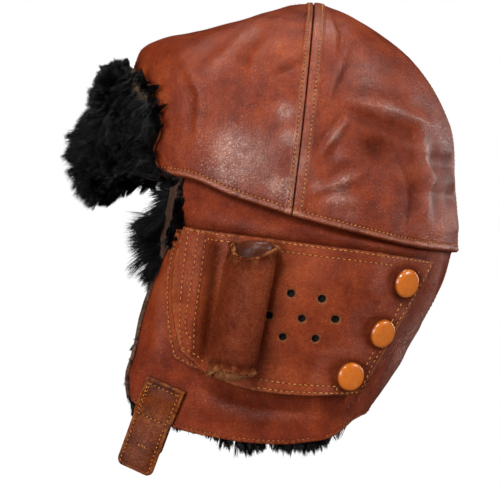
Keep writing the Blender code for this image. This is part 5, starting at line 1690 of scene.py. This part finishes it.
def nearest(points, centres):
    """Index of the nearest centre to each point."""
    found = np.zeros(len(points), int)
    for start in range(0, len(points), 2000):
        block = points[start:start + 2000]
        gaps = (block ** 2).sum(1)[:, None] + (centres ** 2).sum(1)[None] - 2 * block @ centres.T
        found[start:start + 2000] = gaps.argmin(1)
    return found


FUR_BEND = 0.30


def strands(name, body, roots, ways, lengths, seed, radius=0.17 * MM, clump=26, pull=0.62):
    """Locks of fur: tapered hairs whose tips lean together."""
    spread = np.random.default_rng(seed)
    count = len(roots)
    ways = unit(ways)
    centres = spread.choice(count, max(count // clump, 1), replace=False)
    group = centres[nearest(roots, roots[centres])]
    lock_way = unit(ways[group] + spread.normal(0, 0.22, (count, 3))[group])
    lock_length = lengths[group] * spread.uniform(0.8, 1.2, count)[group]
    lock_tip = roots[group] + lock_way * lock_length[:, None]
    own = unit(ways + spread.normal(0, 0.16, (count, 3)))
    tip = roots + own * (lengths * spread.uniform(0.72, 1.08, count))[:, None]
    share = pull * spread.uniform(0.55, 1.15, count)
    tip = mix(tip, lock_tip, np.clip(share, 0, 0.95)[:, None])
    curve = unit(spread.normal(0, 1, (count, 3))[group] + 0.5 * spread.normal(0, 1, (count, 3)))
    curve = curve * (lengths * FUR_BEND * spread.uniform(0.2, 1.0, count))[:, None]
    run = np.array(FUR_LAYERS)
    line = roots[:, None] + (tip - roots)[:, None] * run[None, :, None]
    line = line + curve[:, None] * (np.sin(math.pi * run) * 0.35)[None, :, None]
    line[:, :, 2] -= (lengths[:, None] * 0.10 * run ** 2)
    along = unit(np.gradient(line, axis=1))
    across = unit(np.cross(along, np.broadcast_to(spread.normal(0, 1, (count, 1, 3)), along.shape)))
    other = np.cross(along, across)
    radii = radius * spread.uniform(0.7, 1.35, count)[:, None] * np.array(FUR_TAPER)
    tones = (
        np.clip(0.30 * spread.random(count)[group] + 0.35 * spread.random(count), 0, 1)[:, None]
        + 0.25 * run ** 2
    )
    for index, start in enumerate(range(0, count, FUR_SHARE)):
        part = slice(start, start + FUR_SHARE)
        rings = tube_rings(line[part], across[part], other[part], radii[part], 3)
        many_tubes("%s_%d" % (name, index + 1), rings, "fur", body, {"tone": np.clip(tones[part], 0, 1)})


def fur_noise(points, wavelength, seed):
    """A direction that changes over the fur, so that it lies in swirls."""
    return np.stack([noise(points, wavelength, seed + axis) for axis in range(3)], -1)


def flap_surface(turn, rise, lift):
    share = 1 - np.maximum(rise, 0) / CROWN_ARC
    across, along = share * np.sin(turn), -share * np.cos(turn)
    point = crown_surface(across, along) + crown_normal(across, along) * np.asarray(lift)[..., None]
    point[..., 2] += np.minimum(rise, 0)
    return point


def flap_turn(across, rise):
    """How far round the crown a share across the flap is; it is narrower at its top."""
    half = FLAP_HALF_TURN * read(FLAP_HALF_SHARES, np.clip(rise / FLAP_TOP_ARC, 0, 1))
    return mix(-half, half, across)


def flap_layers(across, up):
    """Foot and tip of the flap's fur at shares across and up it."""
    border = np.abs(2 * across - 1)
    drop = FLAP_FUR_DROP * read(FLAP_DROP_SHARES, border)
    rise = mix(-drop, FLAP_TOP_ARC + FLAP_FUR_OVER * (1 - border ** 2), up)
    turn = flap_turn(across, rise)
    under = FLAP_LIFT + FLAP_LEATHER + GAP
    pile = FLAP_FUR * read(FLAP_SIDE_SHARES, border) * read(FLAP_PILE_SHARES, up)
    foot, tip = flap_surface(turn, rise, under), flap_surface(turn, rise, under + pile)
    fold, hem = flap_surface(0.0, 0.0, FLAP_LIFT), flap_surface(turn, 0, 0)
    below = fold[2] - foot[..., 2]
    reach = np.hypot(foot[..., 1] - fold[1], below)
    limit = np.hypot(hem[..., 1] - fold[1], hem[..., 2] - fold[2]) - FLAP_FUR_CLEAR
    moved = np.minimum(foot[..., 1], fold[1] - below * FOLD_SLOPE_SHARE)
    foot[..., 1] = np.where((below > 0) & (reach > limit), moved, foot[..., 1])
    tip[..., 1] = np.where(rise < 0, np.minimum(tip[..., 1], foot[..., 1] - FLAP_FUR_LEAST), tip[..., 1])
    return foot, tip


FLAP_HAIRS = 42000
FLAP_BORDER_HAIRS = 5200
FLAP_TOP_HAIRS = 3600
CROWN_HAIRS = 17000
SIDE_HAIRS = 12500
# Where the hair of a lining starts, as a share of its depth
LINING_ROOT = 0.45
# Bare skin and a notch in the flap's fur, in the side view
PARTING = ((131, 66), (137, 80), (142, 92), (150, 99))
NOTCH = ((130, 44), (133, 62), (138, 80))


def flap_fur():
    across, up = share_grid(170, 130)
    foot, tip = flap_layers(across, up)
    middle = mix(foot, tip, 0.5)
    lump = 0.64 + lumps(middle, 0, (0.10, 16, 201), (0.10, 6, 203), (0.05, 2.5, 205))
    bare = hump(line_distance(view_of(middle), PARTING)[0], 3.4) * ease((middle[..., 0] - 0.02) / 0.02)
    lump = np.clip(lump - 0.25 * bare, 0.3, 0.9)
    outer = mix(foot, tip, lump[..., None]) + unit(tip - foot) * 0.4 * MM
    obj = sheet("fur_flap_undercoat", outer, foot, "undercoat", "brow_flap", 1, {"bare": bare})
    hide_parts("brow_flap_fur")
    spread = np.random.default_rng(211)
    flap_hairs(spread)
    flap_border_hairs(spread)
    flap_top_hairs(spread)


def flap_hairs(spread):
    count = FLAP_HAIRS
    across = spread.random(count)
    up = spread.random(count)
    foot, tip = flap_layers(across, up)
    pile = np.linalg.norm(tip - foot, axis=-1)
    root_share = spread.uniform(0.30, 0.62, count)
    root = mix(foot, tip, root_share[:, None])
    out = unit(tip - foot)
    side = np.sign(across - 0.5)
    border = np.abs(2 * across - 1)
    droop = -0.55 * (1 - up) + 0.25 * ease((up - 0.8) / 0.2)
    lean = np.stack([side * 0.30 * border, np.full(count, -0.05), droop], -1)
    swirl = fur_noise(root, 17 * MM, 221) * 0.95 + fur_noise(root, 7 * MM, 231) * 0.45
    ways = out + lean + swirl
    length = np.clip(pile * (0.98 - root_share) + 3.0 * MM, 7 * MM, 16 * MM)
    gap = line_distance(view_of(root), PARTING)[0]
    keep = ~((gap < 3.6) & (root[:, 0] > 0.02) & (root_share < 0.62))
    keep &= spread.random(count) < 0.35 + 0.65 * np.clip(pile / (12 * MM), 0, 1)
    strands("fur_flap", "brow_flap", root[keep], ways[keep], length[keep], 241, clump=36, pull=0.74)


def flap_border_hairs(spread):
    """Hairs that stand over the flap's own border."""
    count = FLAP_BORDER_HAIRS
    sign = np.where(spread.random(count) < 0.5, -1.0, 1.0)
    up = spread.random(count)
    up = np.where((up > 0.27) & (up < 0.42), up + 0.2, up)
    across = 0.5 + sign * spread.uniform(0.44, 0.5, count)
    foot, tip = flap_layers(across, up)
    root = foot + unit(tip - foot) * spread.uniform(0.2, 1.8, count)[:, None] * MM
    turn, rise = sign * FLAP_HALF_TURN * 0.9, up * FLAP_TOP_ARC
    away = unit(flap_surface(turn + sign * 0.1, rise, 2 * MM) - flap_surface(turn, rise, 2 * MM))
    ways = away * 1.1 + unit(tip - foot) * 0.32 + fur_noise(root, 9 * MM, 251) * 0.8 + np.array([0, 0, 0.2])
    length = spread.uniform(5, 12, count) * MM
    strands("fur_flap_border", "brow_flap", root, ways, length, 255, clump=44, pull=0.82)


def flap_top_hairs(spread):
    count = FLAP_TOP_HAIRS
    across = spread.random(count)
    foot, tip = flap_layers(across, spread.uniform(0.90, 1.0, count))
    root = foot + (tip - foot) * spread.uniform(0.0, 0.9, count)[:, None]
    ways = unit(tip - foot) * 0.45 + np.array([0, 0.0, 0.75]) + fur_noise(root, 9 * MM, 261) * 0.8
    length = spread.uniform(3, 7.5, count) * MM
    keep = line_distance(view_of(root), NOTCH)[0] > 5
    strands("fur_flap_top", "brow_flap", root[keep], ways[keep], length[keep], 265, clump=36, pull=0.78)


def flap_skin():
    """The leather of the turned-up flap, behind its fur."""
    across, up = share_grid(150, 70)
    rise = mix(0, FLAP_TOP_ARC, up) * (1 - 0.05 * np.abs(2 * across - 1) ** 4)
    turn = flap_turn(across, rise)
    rim = np.minimum(np.minimum(across, 1 - across) * 0.15, (1 - up) * FLAP_TOP_ARC)
    place = flap_surface(turn, rise, 0)
    soft = lumps(place, 0, (0.22, 11, 271), (0.10, 4, 273))
    edge = fade(rim, 0.9 * MM)
    outer = flap_surface(turn, rise,
        FLAP_LIFT + FLAP_LEATHER + (0.4 * np.minimum(soft, 0.3) - 0.45 * edge) * MM)
    inner = flap_surface(turn, rise, FLAP_LIFT + (0.35 * edge) * MM)
    # Darker along the stitch rows near the side edges; the gloss share paints a faint sheen all over.
    paint = {
        "wear": np.clip(0.7 * hump(rim - 0.5 * MM, 0.9 * MM) + 0.15, 0, 1),
        "dark": 0.4 * hump(rim - 2.2 * MM, 0.6 * MM), "gloss": 0.4,
    }
    obj = sheet("leather_flap", outer, inner, "crown", "brow_flap", 1, paint)
    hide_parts("brow_flap_leather")
    for sign in (-1, 1):
        run = np.linspace(0.03, 0.985, 240)
        turn = flap_turn(np.full(run.shape, 0.5 + sign * 0.485), run * FLAP_TOP_ARC)
        point = flap_surface(turn, run * FLAP_TOP_ARC, FLAP_LIFT + FLAP_LEATHER)
        normal = unit(point - flap_surface(turn, run * FLAP_TOP_ARC, 0))
        STITCHES.add("thread_flap", "brow_flap", 1, point, normal, seed=275 + sign)


def crown_fur():
    """The lining of the crown: skin, undercoat and hair."""
    reach = 1 - LINING_RISE / CROWN_ARC
    wide, long = disc_place(*grid(np.linspace(-1, 1, 150), np.linspace(-1, 1, 150)))
    wide, long = wide * reach, long * reach
    base, normal = crown_surface(wide, long), crown_normal(wide, long)
    lump = 0.72 + lumps(base, 0, (0.20, 11, 301), (0.14, 4, 303))
    outer = base - normal * LINING_DEPTH
    inner = base - normal * (LINING_DEPTH + CROWN_FUR * np.clip(lump, 0.4, 1.0))[..., None]
    obj = sheet("fur_crown_undercoat", outer, inner, "undercoat", "helmet", 1, {"bare": 0})
    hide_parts("crown_lining")
    spread = np.random.default_rng(311)
    count = CROWN_HAIRS
    radius, turn = np.sqrt(spread.uniform(0.0, 1, count)) * reach, spread.uniform(0, 2 * math.pi, count)
    radius = np.where(spread.random(count) < 0.45, spread.uniform(0.62, 1.0, count) * reach, radius)
    wide, long = radius * np.sin(turn), -radius * np.cos(turn)
    base, normal = crown_surface(wide, long), crown_normal(wide, long)
    root = base - normal * (LINING_DEPTH + LINING_ROOT * CROWN_FUR)
    ways = -normal * 0.8 + fur_noise(root, 14 * MM, 321) * 0.9 + np.array([0, 0, -0.35])
    strands("fur_crown", "helmet", root, ways, spread.uniform(5, 9, count) * MM, 325, radius=0.2 * MM)


def side_fur():
    """The lining of the curtain, and the hair that shows at its borders."""
    length, height = share_grid(150, 100)
    azimuth, z = curtain_place(length, height, 0, BINDING_INSET)
    base, normal = curtain_at(azimuth, z)
    lump = np.clip(0.72 + lumps(base, 0, (0.20, 11, 331), (0.14, 4, 333)), 0.4, 1.0)
    outer = base - normal * SIDE_LINING_DEPTH
    inner = base - normal * (SIDE_LINING_DEPTH + CURTAIN_FUR * lump)[..., None]
    outer[-1, :, 0], inner[-1, :, 0] = SEAM_HALF, SEAM_HALF
    for side, label in SIDES:
        obj = sheet("fur_side_undercoat_" + label, outer, inner, "undercoat", "helmet", side, {"bare": 0})
        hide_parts("side_lining_" + label)
        spread = np.random.default_rng(341 + side)
        count = SIDE_HAIRS
        length, height = spread.random(count), spread.random(count)
        length = np.where(spread.random(count) < 0.3, length ** 2.2, length)
        azimuth, z = curtain_place(length, height, 0, BINDING_INSET)
        base, normal = curtain_at(azimuth, z)
        root = base - normal * (SIDE_LINING_DEPTH + LINING_ROOT * CURTAIN_FUR)
        forward = np.clip(1 - length / 0.12, 0, 1)
        ways = -normal * 0.8 + fur_noise(root, 14 * MM, 351) * 0.9 + np.array([0, 0, -0.4])
        ways = ways + np.stack([forward * 0, -forward * 0.8, forward * 0], -1)
        strands("fur_side_" + label, "helmet", mirrored(root, side), mirrored(ways, side),
            spread.uniform(5, 9.5, count) * MM, 355, radius=0.2 * MM)


# Borders where hair shows outside the leather: place in the side view, how many hairs, length and spread
FRONT_WISPS = (
    (176, 184, 420, 8, (0.2, -0.3, 0.5)), (168, 192, 700, 17, (0.1, -1.0, 0.1)),
    (167, 200, 900, 21, (0.0, -1.0, -0.35)), (165, 209, 900, 23, (0.0, -1.0, -0.5)),
    (163, 217, 900, 24, (0.1, -1.0, -0.25)), (161, 224, 1000, 27, (0.1, -1.0, -0.05)),
    (160, 231, 800, 20, (0.1, -0.9, -0.5)), (159, 238, 900, 26, (0.1, -1.0, 0.10)),
    (157, 247, 800, 20, (0.1, -0.9, -0.4)), (155, 256, 800, 19, (0.1, -0.9, -0.6)),
    (152, 265, 600, 15, (0.1, -0.7, -0.8)), (149, 274, 260, 8, (0.1, -0.5, -0.9)),
    (144, 292, 240, 6, (0.2, -0.7, -0.8)), (138, 315, 300, 7, (0.2, -0.6, -0.8)),
    (131, 338, 340, 7, (0.2, -0.6, -0.9)), (127, 357, 360, 8, (0.2, -0.7, -0.9)),
    (126, 374, 360, 8, (0.2, -0.7, -0.9)), (127, 393, 380, 8, (0.1, -0.2, -1.0)),
    (130, 403, 320, 8, (0.1, -0.1, -1.0)),
)
LOW_WISPS = (
    (196, 432, 90, 2.5), (208, 434, 110, 3), (219, 436, 160, 4), (228, 438, 380, 6.5),
    (238, 439, 480, 8), (248, 440, 480, 8), (257, 440, 420, 6.5), (265, 441, 160, 4),
    (281, 441, 300, 6), (291, 441, 430, 7), (302, 441, 450, 8), (312, 440, 380, 7),
    (322, 439, 300, 6), (330, 438, 160, 4), (345, 431, 90, 3), (369, 409, 130, 5),
    (176, 424, 120, 4),
)
# Hair that comes out beside the binding: down the side view, from, to, and how many hairs
OVER_ROWS = (
    (184, 170, 178, 120), (189, 177, 184, 90), (193, 178, 186, 90), (197, 176, 186, 130),
    (202, 176, 187, 210), (207, 175, 186, 260), (213, 173, 187, 300), (219, 172, 187, 320),
    (225, 170, 186, 320), (231, 168, 186, 320), (237, 166, 183, 280), (242, 164, 177, 200),
    (246, 163, 170, 90),
)


def border_fur():
    for side, label in SIDES:
        spread = np.random.default_rng(371 + side)
        roots, ways, sizes = [], [], []
        skew = 0.0 if side == 1 else 3.0
        for across, down, count, length, way in FRONT_WISPS:
            place = across + spread.normal(0, 1.0, count), down + skew + spread.normal(0, 3.2, count)
            y, z = from_view(np.stack(place, -1), on_curtain)
            front = curtain_surface(front_edge_azimuth(z, 0), z)[..., 1]
            y = np.maximum(y, front + 1.0 * MM)
            root = side_point(y, z, spread.uniform(-7.0, -2.6, count) * MM)
            roots.append(root)
            swirl = fur_noise(root, 7 * MM, 381) * 0.5 + spread.normal(0, 0.12, (count, 3))
            ways.append(np.array(way) + np.array([-0.25, 0, 0]) + swirl)
            sizes.append(length * MM * spread.uniform(0.55, 1.0, count))
        for across, down, count, length in LOW_WISPS:
            place = np.stack([across + skew + spread.normal(0, 4.0, count), np.full(count, down - 4.0)], -1)
            y, z = from_view(place, on_curtain)
            root = side_point(y, z, spread.uniform(-8.0, -3.0, count) * MM)
            roots.append(root)
            ways.append(np.array([0.12, 0.05, -1.0]) + fur_noise(root, 6 * MM, 383) * 0.45)
            sizes.append((length + 2.5) * MM * spread.uniform(0.6, 1.12, count))
        for down, start, end, count in OVER_ROWS:
            place = np.stack([spread.uniform(start, end - 3, count), down + spread.uniform(-3, 3, count)], -1)
            y, z = from_view(place, on_curtain)
            root = side_point(y, z, spread.uniform(0.0, 0.4, count) * MM)
            roots.append(root)
            ways.append(np.array([0.30, 0.30, 0.30]) + fur_noise(root, 8 * MM, 385) * 1.1)
            sizes.append(spread.uniform(3.0, 6.5, count) * MM)
        root, way = np.concatenate(roots), np.concatenate(ways)
        strands("fur_border_" + label, "helmet", mirrored(root, side), mirrored(way, side),
            np.concatenate(sizes), 391, radius=0.15 * MM, clump=34, pull=0.78)


# Chin tabs

def tab_frame():
    """Hinge middle, hinge direction, hang direction and outward normal of the left chin tab."""
    lift = ANCHOR_LIFT + TAB_THICKNESS / 2
    ends = []
    for turn in (-1, 1):
        y = TAB_HINGE_MIDDLE[0] + turn * TAB_WIDTH / 2 * math.cos(TAB_TURN)
        z = TAB_HINGE_MIDDLE[1] - turn * TAB_WIDTH / 2 * math.sin(TAB_TURN)
        ends.append(side_point(y, z, lift))
    hinge = unit(ends[1] - ends[0])
    down = np.array([0, 0, -1.0])
    hang = unit(down - hinge * (down @ hinge))
    normal = np.cross(hinge, hang)
    return (ends[0] + ends[1]) / 2, hinge, hang, normal if normal[0] > 0 else -normal


TAB_FRAME = tab_frame()
TAB_INSET = 2.3 * MM
TAB_TOP_ROW = 3.4 * MM
TAB_LOW_ROW = 1.2 * MM


def tab_point(drop, across, lift):
    """A point of the tab and of its sewn upper part: down from the hinge, and mm across from its middle."""
    middle, hinge, hang, normal = TAB_FRAME
    free = middle + hang * drop[..., None] + hinge * across[..., None] + normal * np.asarray(lift)[..., None]
    y = TAB_HINGE_MIDDLE[0] + across * math.cos(TAB_TURN) - drop * math.sin(TAB_TURN)
    z = TAB_HINGE_MIDDLE[1] - across * math.sin(TAB_TURN) - drop * math.cos(TAB_TURN)
    sewn = side_point(y, z, ANCHOR_LIFT + TAB_THICKNESS / 2 + lift)
    return mix(sewn, free, ease((drop + 3.5 * MM) / (4 * MM))[..., None])


def tab_half(drop):
    """Half the width of the tab, which rounds off at its lower corners."""
    left = np.clip((drop - (TAB_LENGTH - TAB_CORNER)) / TAB_CORNER, 0, 1)
    return TAB_WIDTH / 2 - TAB_CORNER * 0.9 * (1 - np.sqrt(1 - left ** 2 * 0.98))


def chin_tabs():
    drops = np.concatenate([np.linspace(-ANCHOR_LENGTH, -ANCHOR_LENGTH + 2 * MM, 7)[:-1],
                            np.linspace(-ANCHOR_LENGTH + 2 * MM, TAB_LENGTH - 4 * MM, 84)[:-1],
                            np.linspace(TAB_LENGTH - 4 * MM, TAB_LENGTH, 16)])
    edge = np.array([0, 0.02, 0.045, 0.08, 0.13, 0.19])
    shares = np.concatenate([edge, np.linspace(0.25, 0.75, 26), 1 - edge[::-1]])
    drop, share = grid(drops, shares * 2 - 1)
    across = share * tab_half(drop)
    rim = np.minimum(tab_half(drop) - np.abs(across), np.minimum(drop + ANCHOR_LENGTH, TAB_LENGTH - drop))
    half = TAB_THICKNESS / 2
    for side, label in SIDES:
        flat = np.stack([across, drop, drop * 0 + side], -1)
        sewn = hump(rim - TAB_INSET, 0.7 * MM)
        cross = hump(drop + TAB_LOW_ROW, 0.7 * MM)
        second = hump(drop + ANCHOR_LENGTH - TAB_TOP_ROW, 0.6 * MM)
        lift = lumps(flat, side, (0.35, 12, 401), (0.12, 4, 403))
        lift = (
            lift * ease(rim / (5 * MM)) - 0.55 * fade(rim, 1.0 * MM)
            - 0.22 * np.maximum(np.maximum(sewn, cross), second)
        )
        lift = lift + 0.55 * hump(drop + ANCHOR_LENGTH - 1.2 * MM, 1.3 * MM)
        curl = 0.5 * MM * ease((drop - 10 * MM) / (15 * MM)) * (across / TAB_WIDTH) ** 2
        lift = lift * MM * 0.8
        shade = hump(np.hypot(across - 0.2 * MM, drop - 15 * MM), 2.0 * MM)
        # Painted shade in the stitch grooves and a painted shade spot at the crossed stitches; the gloss
        # share paints a faint sheen.
        paint = {
            "dark": np.clip(0.35 * np.maximum(sewn, cross) + 0.25 * second + 0.3 * shade, 0, 1),
            "wear": np.clip(
                0.8 * hump(rim - 0.5 * MM, 0.8 * MM) + 0.18 + 0.3 * hump(drop + 1 * MM, 3 * MM), 0, 1),
            "gloss": np.clip(0.3 + 0.3 * noise(flat, 10 * MM, 405), 0, 1),
        }
        outer = tab_point(drop, across, half + lift + curl)
        inner = tab_point(drop, across, -half + 0.3 * MM * fade(rim, 0.8 * MM) + curl)
        obj = sheet("leather_chin_tab_" + label, outer, inner, "tab", None, side, paint)
        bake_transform(obj)
        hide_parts("chin_anchor_" + label, "chin_tab_" + label)
        tab_rows(side, label, half)
        tab_back(side, label, half)


CROSS_LINES = (
    ((-2.6, 13.2), (-0.4, 15.8)), ((-0.6, 13.0), (1.6, 16.2)), ((1.4, 13.6), (3.4, 16.0)),
    ((-3.0, 15.2), (3.2, 14.0)),
)


def tab_rows(side, label, half):
    """Rows of thread on a tab."""
    def row(drop, across, body, pitch=2.3 * MM, radius=0.27 * MM, seed=411):
        point = tab_point(drop, across, half + 0.02 * MM)
        normal = unit(point - tab_point(drop, across, -half))
        STITCHES.add("thread_" + body, body, side, point, normal, pitch, 0.70, radius, 0.7, seed)

    tab = "chin_tab_" + label
    for sign in (-1, 1):
        drop = np.linspace(-ANCHOR_LENGTH + TAB_INSET, -0.2 * MM, 120)
        row(drop, sign * (tab_half(drop) - TAB_INSET), "helmet", seed=413 + sign)
        drop = np.linspace(1.4 * MM, TAB_LENGTH - 1.2 * MM, 140)
        row(drop, sign * (tab_half(drop) - TAB_INSET + 0.5 * MM * ease((drop - 18 * MM) / (8 * MM))), tab,
            seed=415 + sign)
    drop = np.linspace(-ANCHOR_LENGTH + TAB_INSET, -0.2 * MM, 120)
    row(drop, -(tab_half(drop) - TAB_INSET - 0.9 * MM), "helmet", 2.0 * MM, 0.22 * MM, 417)
    across = np.linspace(-TAB_WIDTH / 2 + TAB_INSET, TAB_WIDTH / 2 - TAB_INSET, 100)
    row(np.full(100, -ANCHOR_LENGTH + TAB_TOP_ROW), across, "helmet", seed=419)
    row(np.full(100, -TAB_LOW_ROW), across, "helmet", seed=421)
    for start, end in CROSS_LINES:
        part = np.linspace(0, 1, 12)
        row(mix(start[1], end[1], part) * MM, mix(start[0], end[0], part) * MM, tab, 2.2 * MM, 0.22 * MM, 423)


def tab_back(side, label, half):
    """The lining of a tab, and its half of the fastener."""
    share, part = grid(np.linspace(0, 1, 44), np.linspace(-1, 1, 26))
    drop = mix(TAB_BACKING_START, TAB_LENGTH - 1.0 * MM, share)
    across = part * (tab_half(drop) - 1.0 * MM)
    soft = 0.10 * MM * noise(level(across, drop), 4 * MM, 431)
    under = -(half + GAP)
    outer = tab_point(drop, across, under + np.minimum(soft, 0))
    inner = tab_point(drop, across, under - TAB_BACKING + np.maximum(soft, 0) * 0.5)
    paint = {"dark": 0, "wear": 0.35, "gloss": 0}
    obj = sheet("leather_tab_back_" + label, inner, outer, "strip", "chin_tab_" + label, side, paint)
    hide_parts("chin_tab_backing_" + label)
    middle, _, hang, normal = TAB_FRAME
    seat = facing(middle + hang * TAB_SNAP_DROP - normal * (half + GAP + TAB_BACKING + GAP), -normal)
    kind = "stud" if side == 1 else "socket"
    piece = brass_half("chin_%s_brass" % kind, kind, seat, "chin_tab_" + label, side)
    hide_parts("chin_%s_%s" % (kind, label))


# Camera, light and floor

def camera():
    data = bpy.data.cameras.new("camera")
    data.lens, data.sensor_width = FOCAL_LENGTH, SENSOR
    obj = bpy.data.objects.new("camera", data)
    obj.location = CAMERA_PLACE
    obj.rotation_euler = (math.radians(90), 0, math.radians(90))
    bpy.context.scene.collection.objects.link(obj)
    bpy.context.scene.camera = obj


def area_light(name, place, target, size, power, colour=(1, 1, 1)):
    data = bpy.data.lights.new(name, "AREA")
    data.shape, data.size, data.size_y = "RECTANGLE", size[0], size[1]
    data.energy, data.color = power, colour
    obj = bpy.data.objects.new(name, data)
    obj.location = place
    obj.rotation_mode = "QUATERNION"
    obj.rotation_quaternion = (Vector(place) - Vector(target)).to_track_quat("Z", "Y")
    bpy.context.scene.collection.objects.link(obj)


FLOOR_REACH = 3.0
# Name, place, target, size, power and colour
LIGHTS = (
    ("key", (1.02, -0.20, 1.00), (0.05, 0.0, 0.05), (0.34, 0.28), 9.5, (1.0, 0.98, 0.95)),
    ("left", (1.00, -0.80, 0.17), (0.04, -0.02, 0.06), (0.52, 0.50), 8.5, (1.0, 0.98, 0.96)),
    ("right", (0.55, 1.15, 0.50), (0.03, 0.02, 0.05), (0.30, 0.45), 7.5, (0.97, 0.98, 1.0)),
    ("rim", (-0.75, 0.95, 0.22), (0.0, 0.08, 0.06), (0.20, 0.50), 3.0),
    ("top", (-0.10, 0.15, 1.25), (0.0, 0.0, 0.1), (0.34, 0.34), 5.0),
)


def by_ray(tree, usual, reflected, seen, surface):
    """One shader for the camera, one for reflections, and one for all other light."""
    rays = tree.nodes.new("ShaderNodeLightPath")
    for label, other in (("Is Glossy Ray", reflected), ("Is Camera Ray", seen)):
        chooser = tree.nodes.new("ShaderNodeMixShader")
        tree.links.new(rays.outputs[label], chooser.inputs[0])
        tree.links.new(usual, chooser.inputs[1])
        tree.links.new(other, chooser.inputs[2])
        usual = chooser.outputs[0]
    tree.links.new(usual, surface)


def white_room():
    """A white world that hardly shows in reflections."""
    world = bpy.data.worlds.new("white_room")
    world.use_nodes = True
    tree = world.node_tree
    usual, clear = tree.nodes["Background"], tree.nodes.new("ShaderNodeBackground")
    for back in (usual, clear):
        back.inputs["Color"].default_value = (1, 1, 1, 1)
    usual.inputs["Strength"].default_value = 0.15
    dim = tree.nodes.new("ShaderNodeBackground")
    dim.inputs["Strength"].default_value = 0.02
    by_ray(tree, usual.outputs[0], dim.outputs[0], clear.outputs[0],
        tree.nodes["World Output"].inputs["Surface"])
    bpy.context.scene.world = world


def paper_floor():
    """A floor that is white to the camera and dark in reflections."""
    mesh = bpy.data.meshes.new("floor")
    ground = CAD_BOX[0][2] - 2 * MM
    corners = [(x * FLOOR_REACH, y * FLOOR_REACH, ground) for x, y in ((-1, -1), (1, -1), (1, 1), (-1, 1))]
    mesh.from_pydata(corners, [], [(0, 1, 2, 3)])
    floor = bpy.data.objects.new("floor", mesh)
    bpy.context.scene.collection.objects.link(floor)
    look = Look("floor_paper")
    paper = look.ramp(look.noise(0.3), ((0.0, (0.55, 0.55, 0.55)), (1.0, (0.60, 0.60, 0.60))))
    look.set(Base_Color=paper, Roughness=0.9)
    glow = look.add("ShaderNodeEmission", {"Color": (1.0, 1.0, 1.0), "Strength": 1.0}).outputs[0]
    dark = look.add("ShaderNodeBsdfDiffuse", {"Color": (0.05, 0.05, 0.05, 1)}).outputs[0]
    by_ray(look.tree, look.shader.outputs[0], dark, glow,
        look.tree.nodes["Material Output"].inputs["Surface"])
    mesh.materials.append(look.material)


def surroundings():
    white_room()
    paper_floor()
    for light in LIGHTS:
        area_light(*light)


def main():
    camera()
    surroundings()
    crown_panels()
    crown_stitches()
    curtain_leather()
    back_tape()
    binding()
    base_leather()
    pocket_leather()
    leather_rolls()
    fasteners()
    felt_rings()
    flap_skin()
    flap_fur()
    crown_fur()
    side_fur()
    border_fur()
    chin_tabs()
    STITCHES.finish()
    scene = bpy.context.scene
    scene.view_settings.view_transform = "Standard"


main()
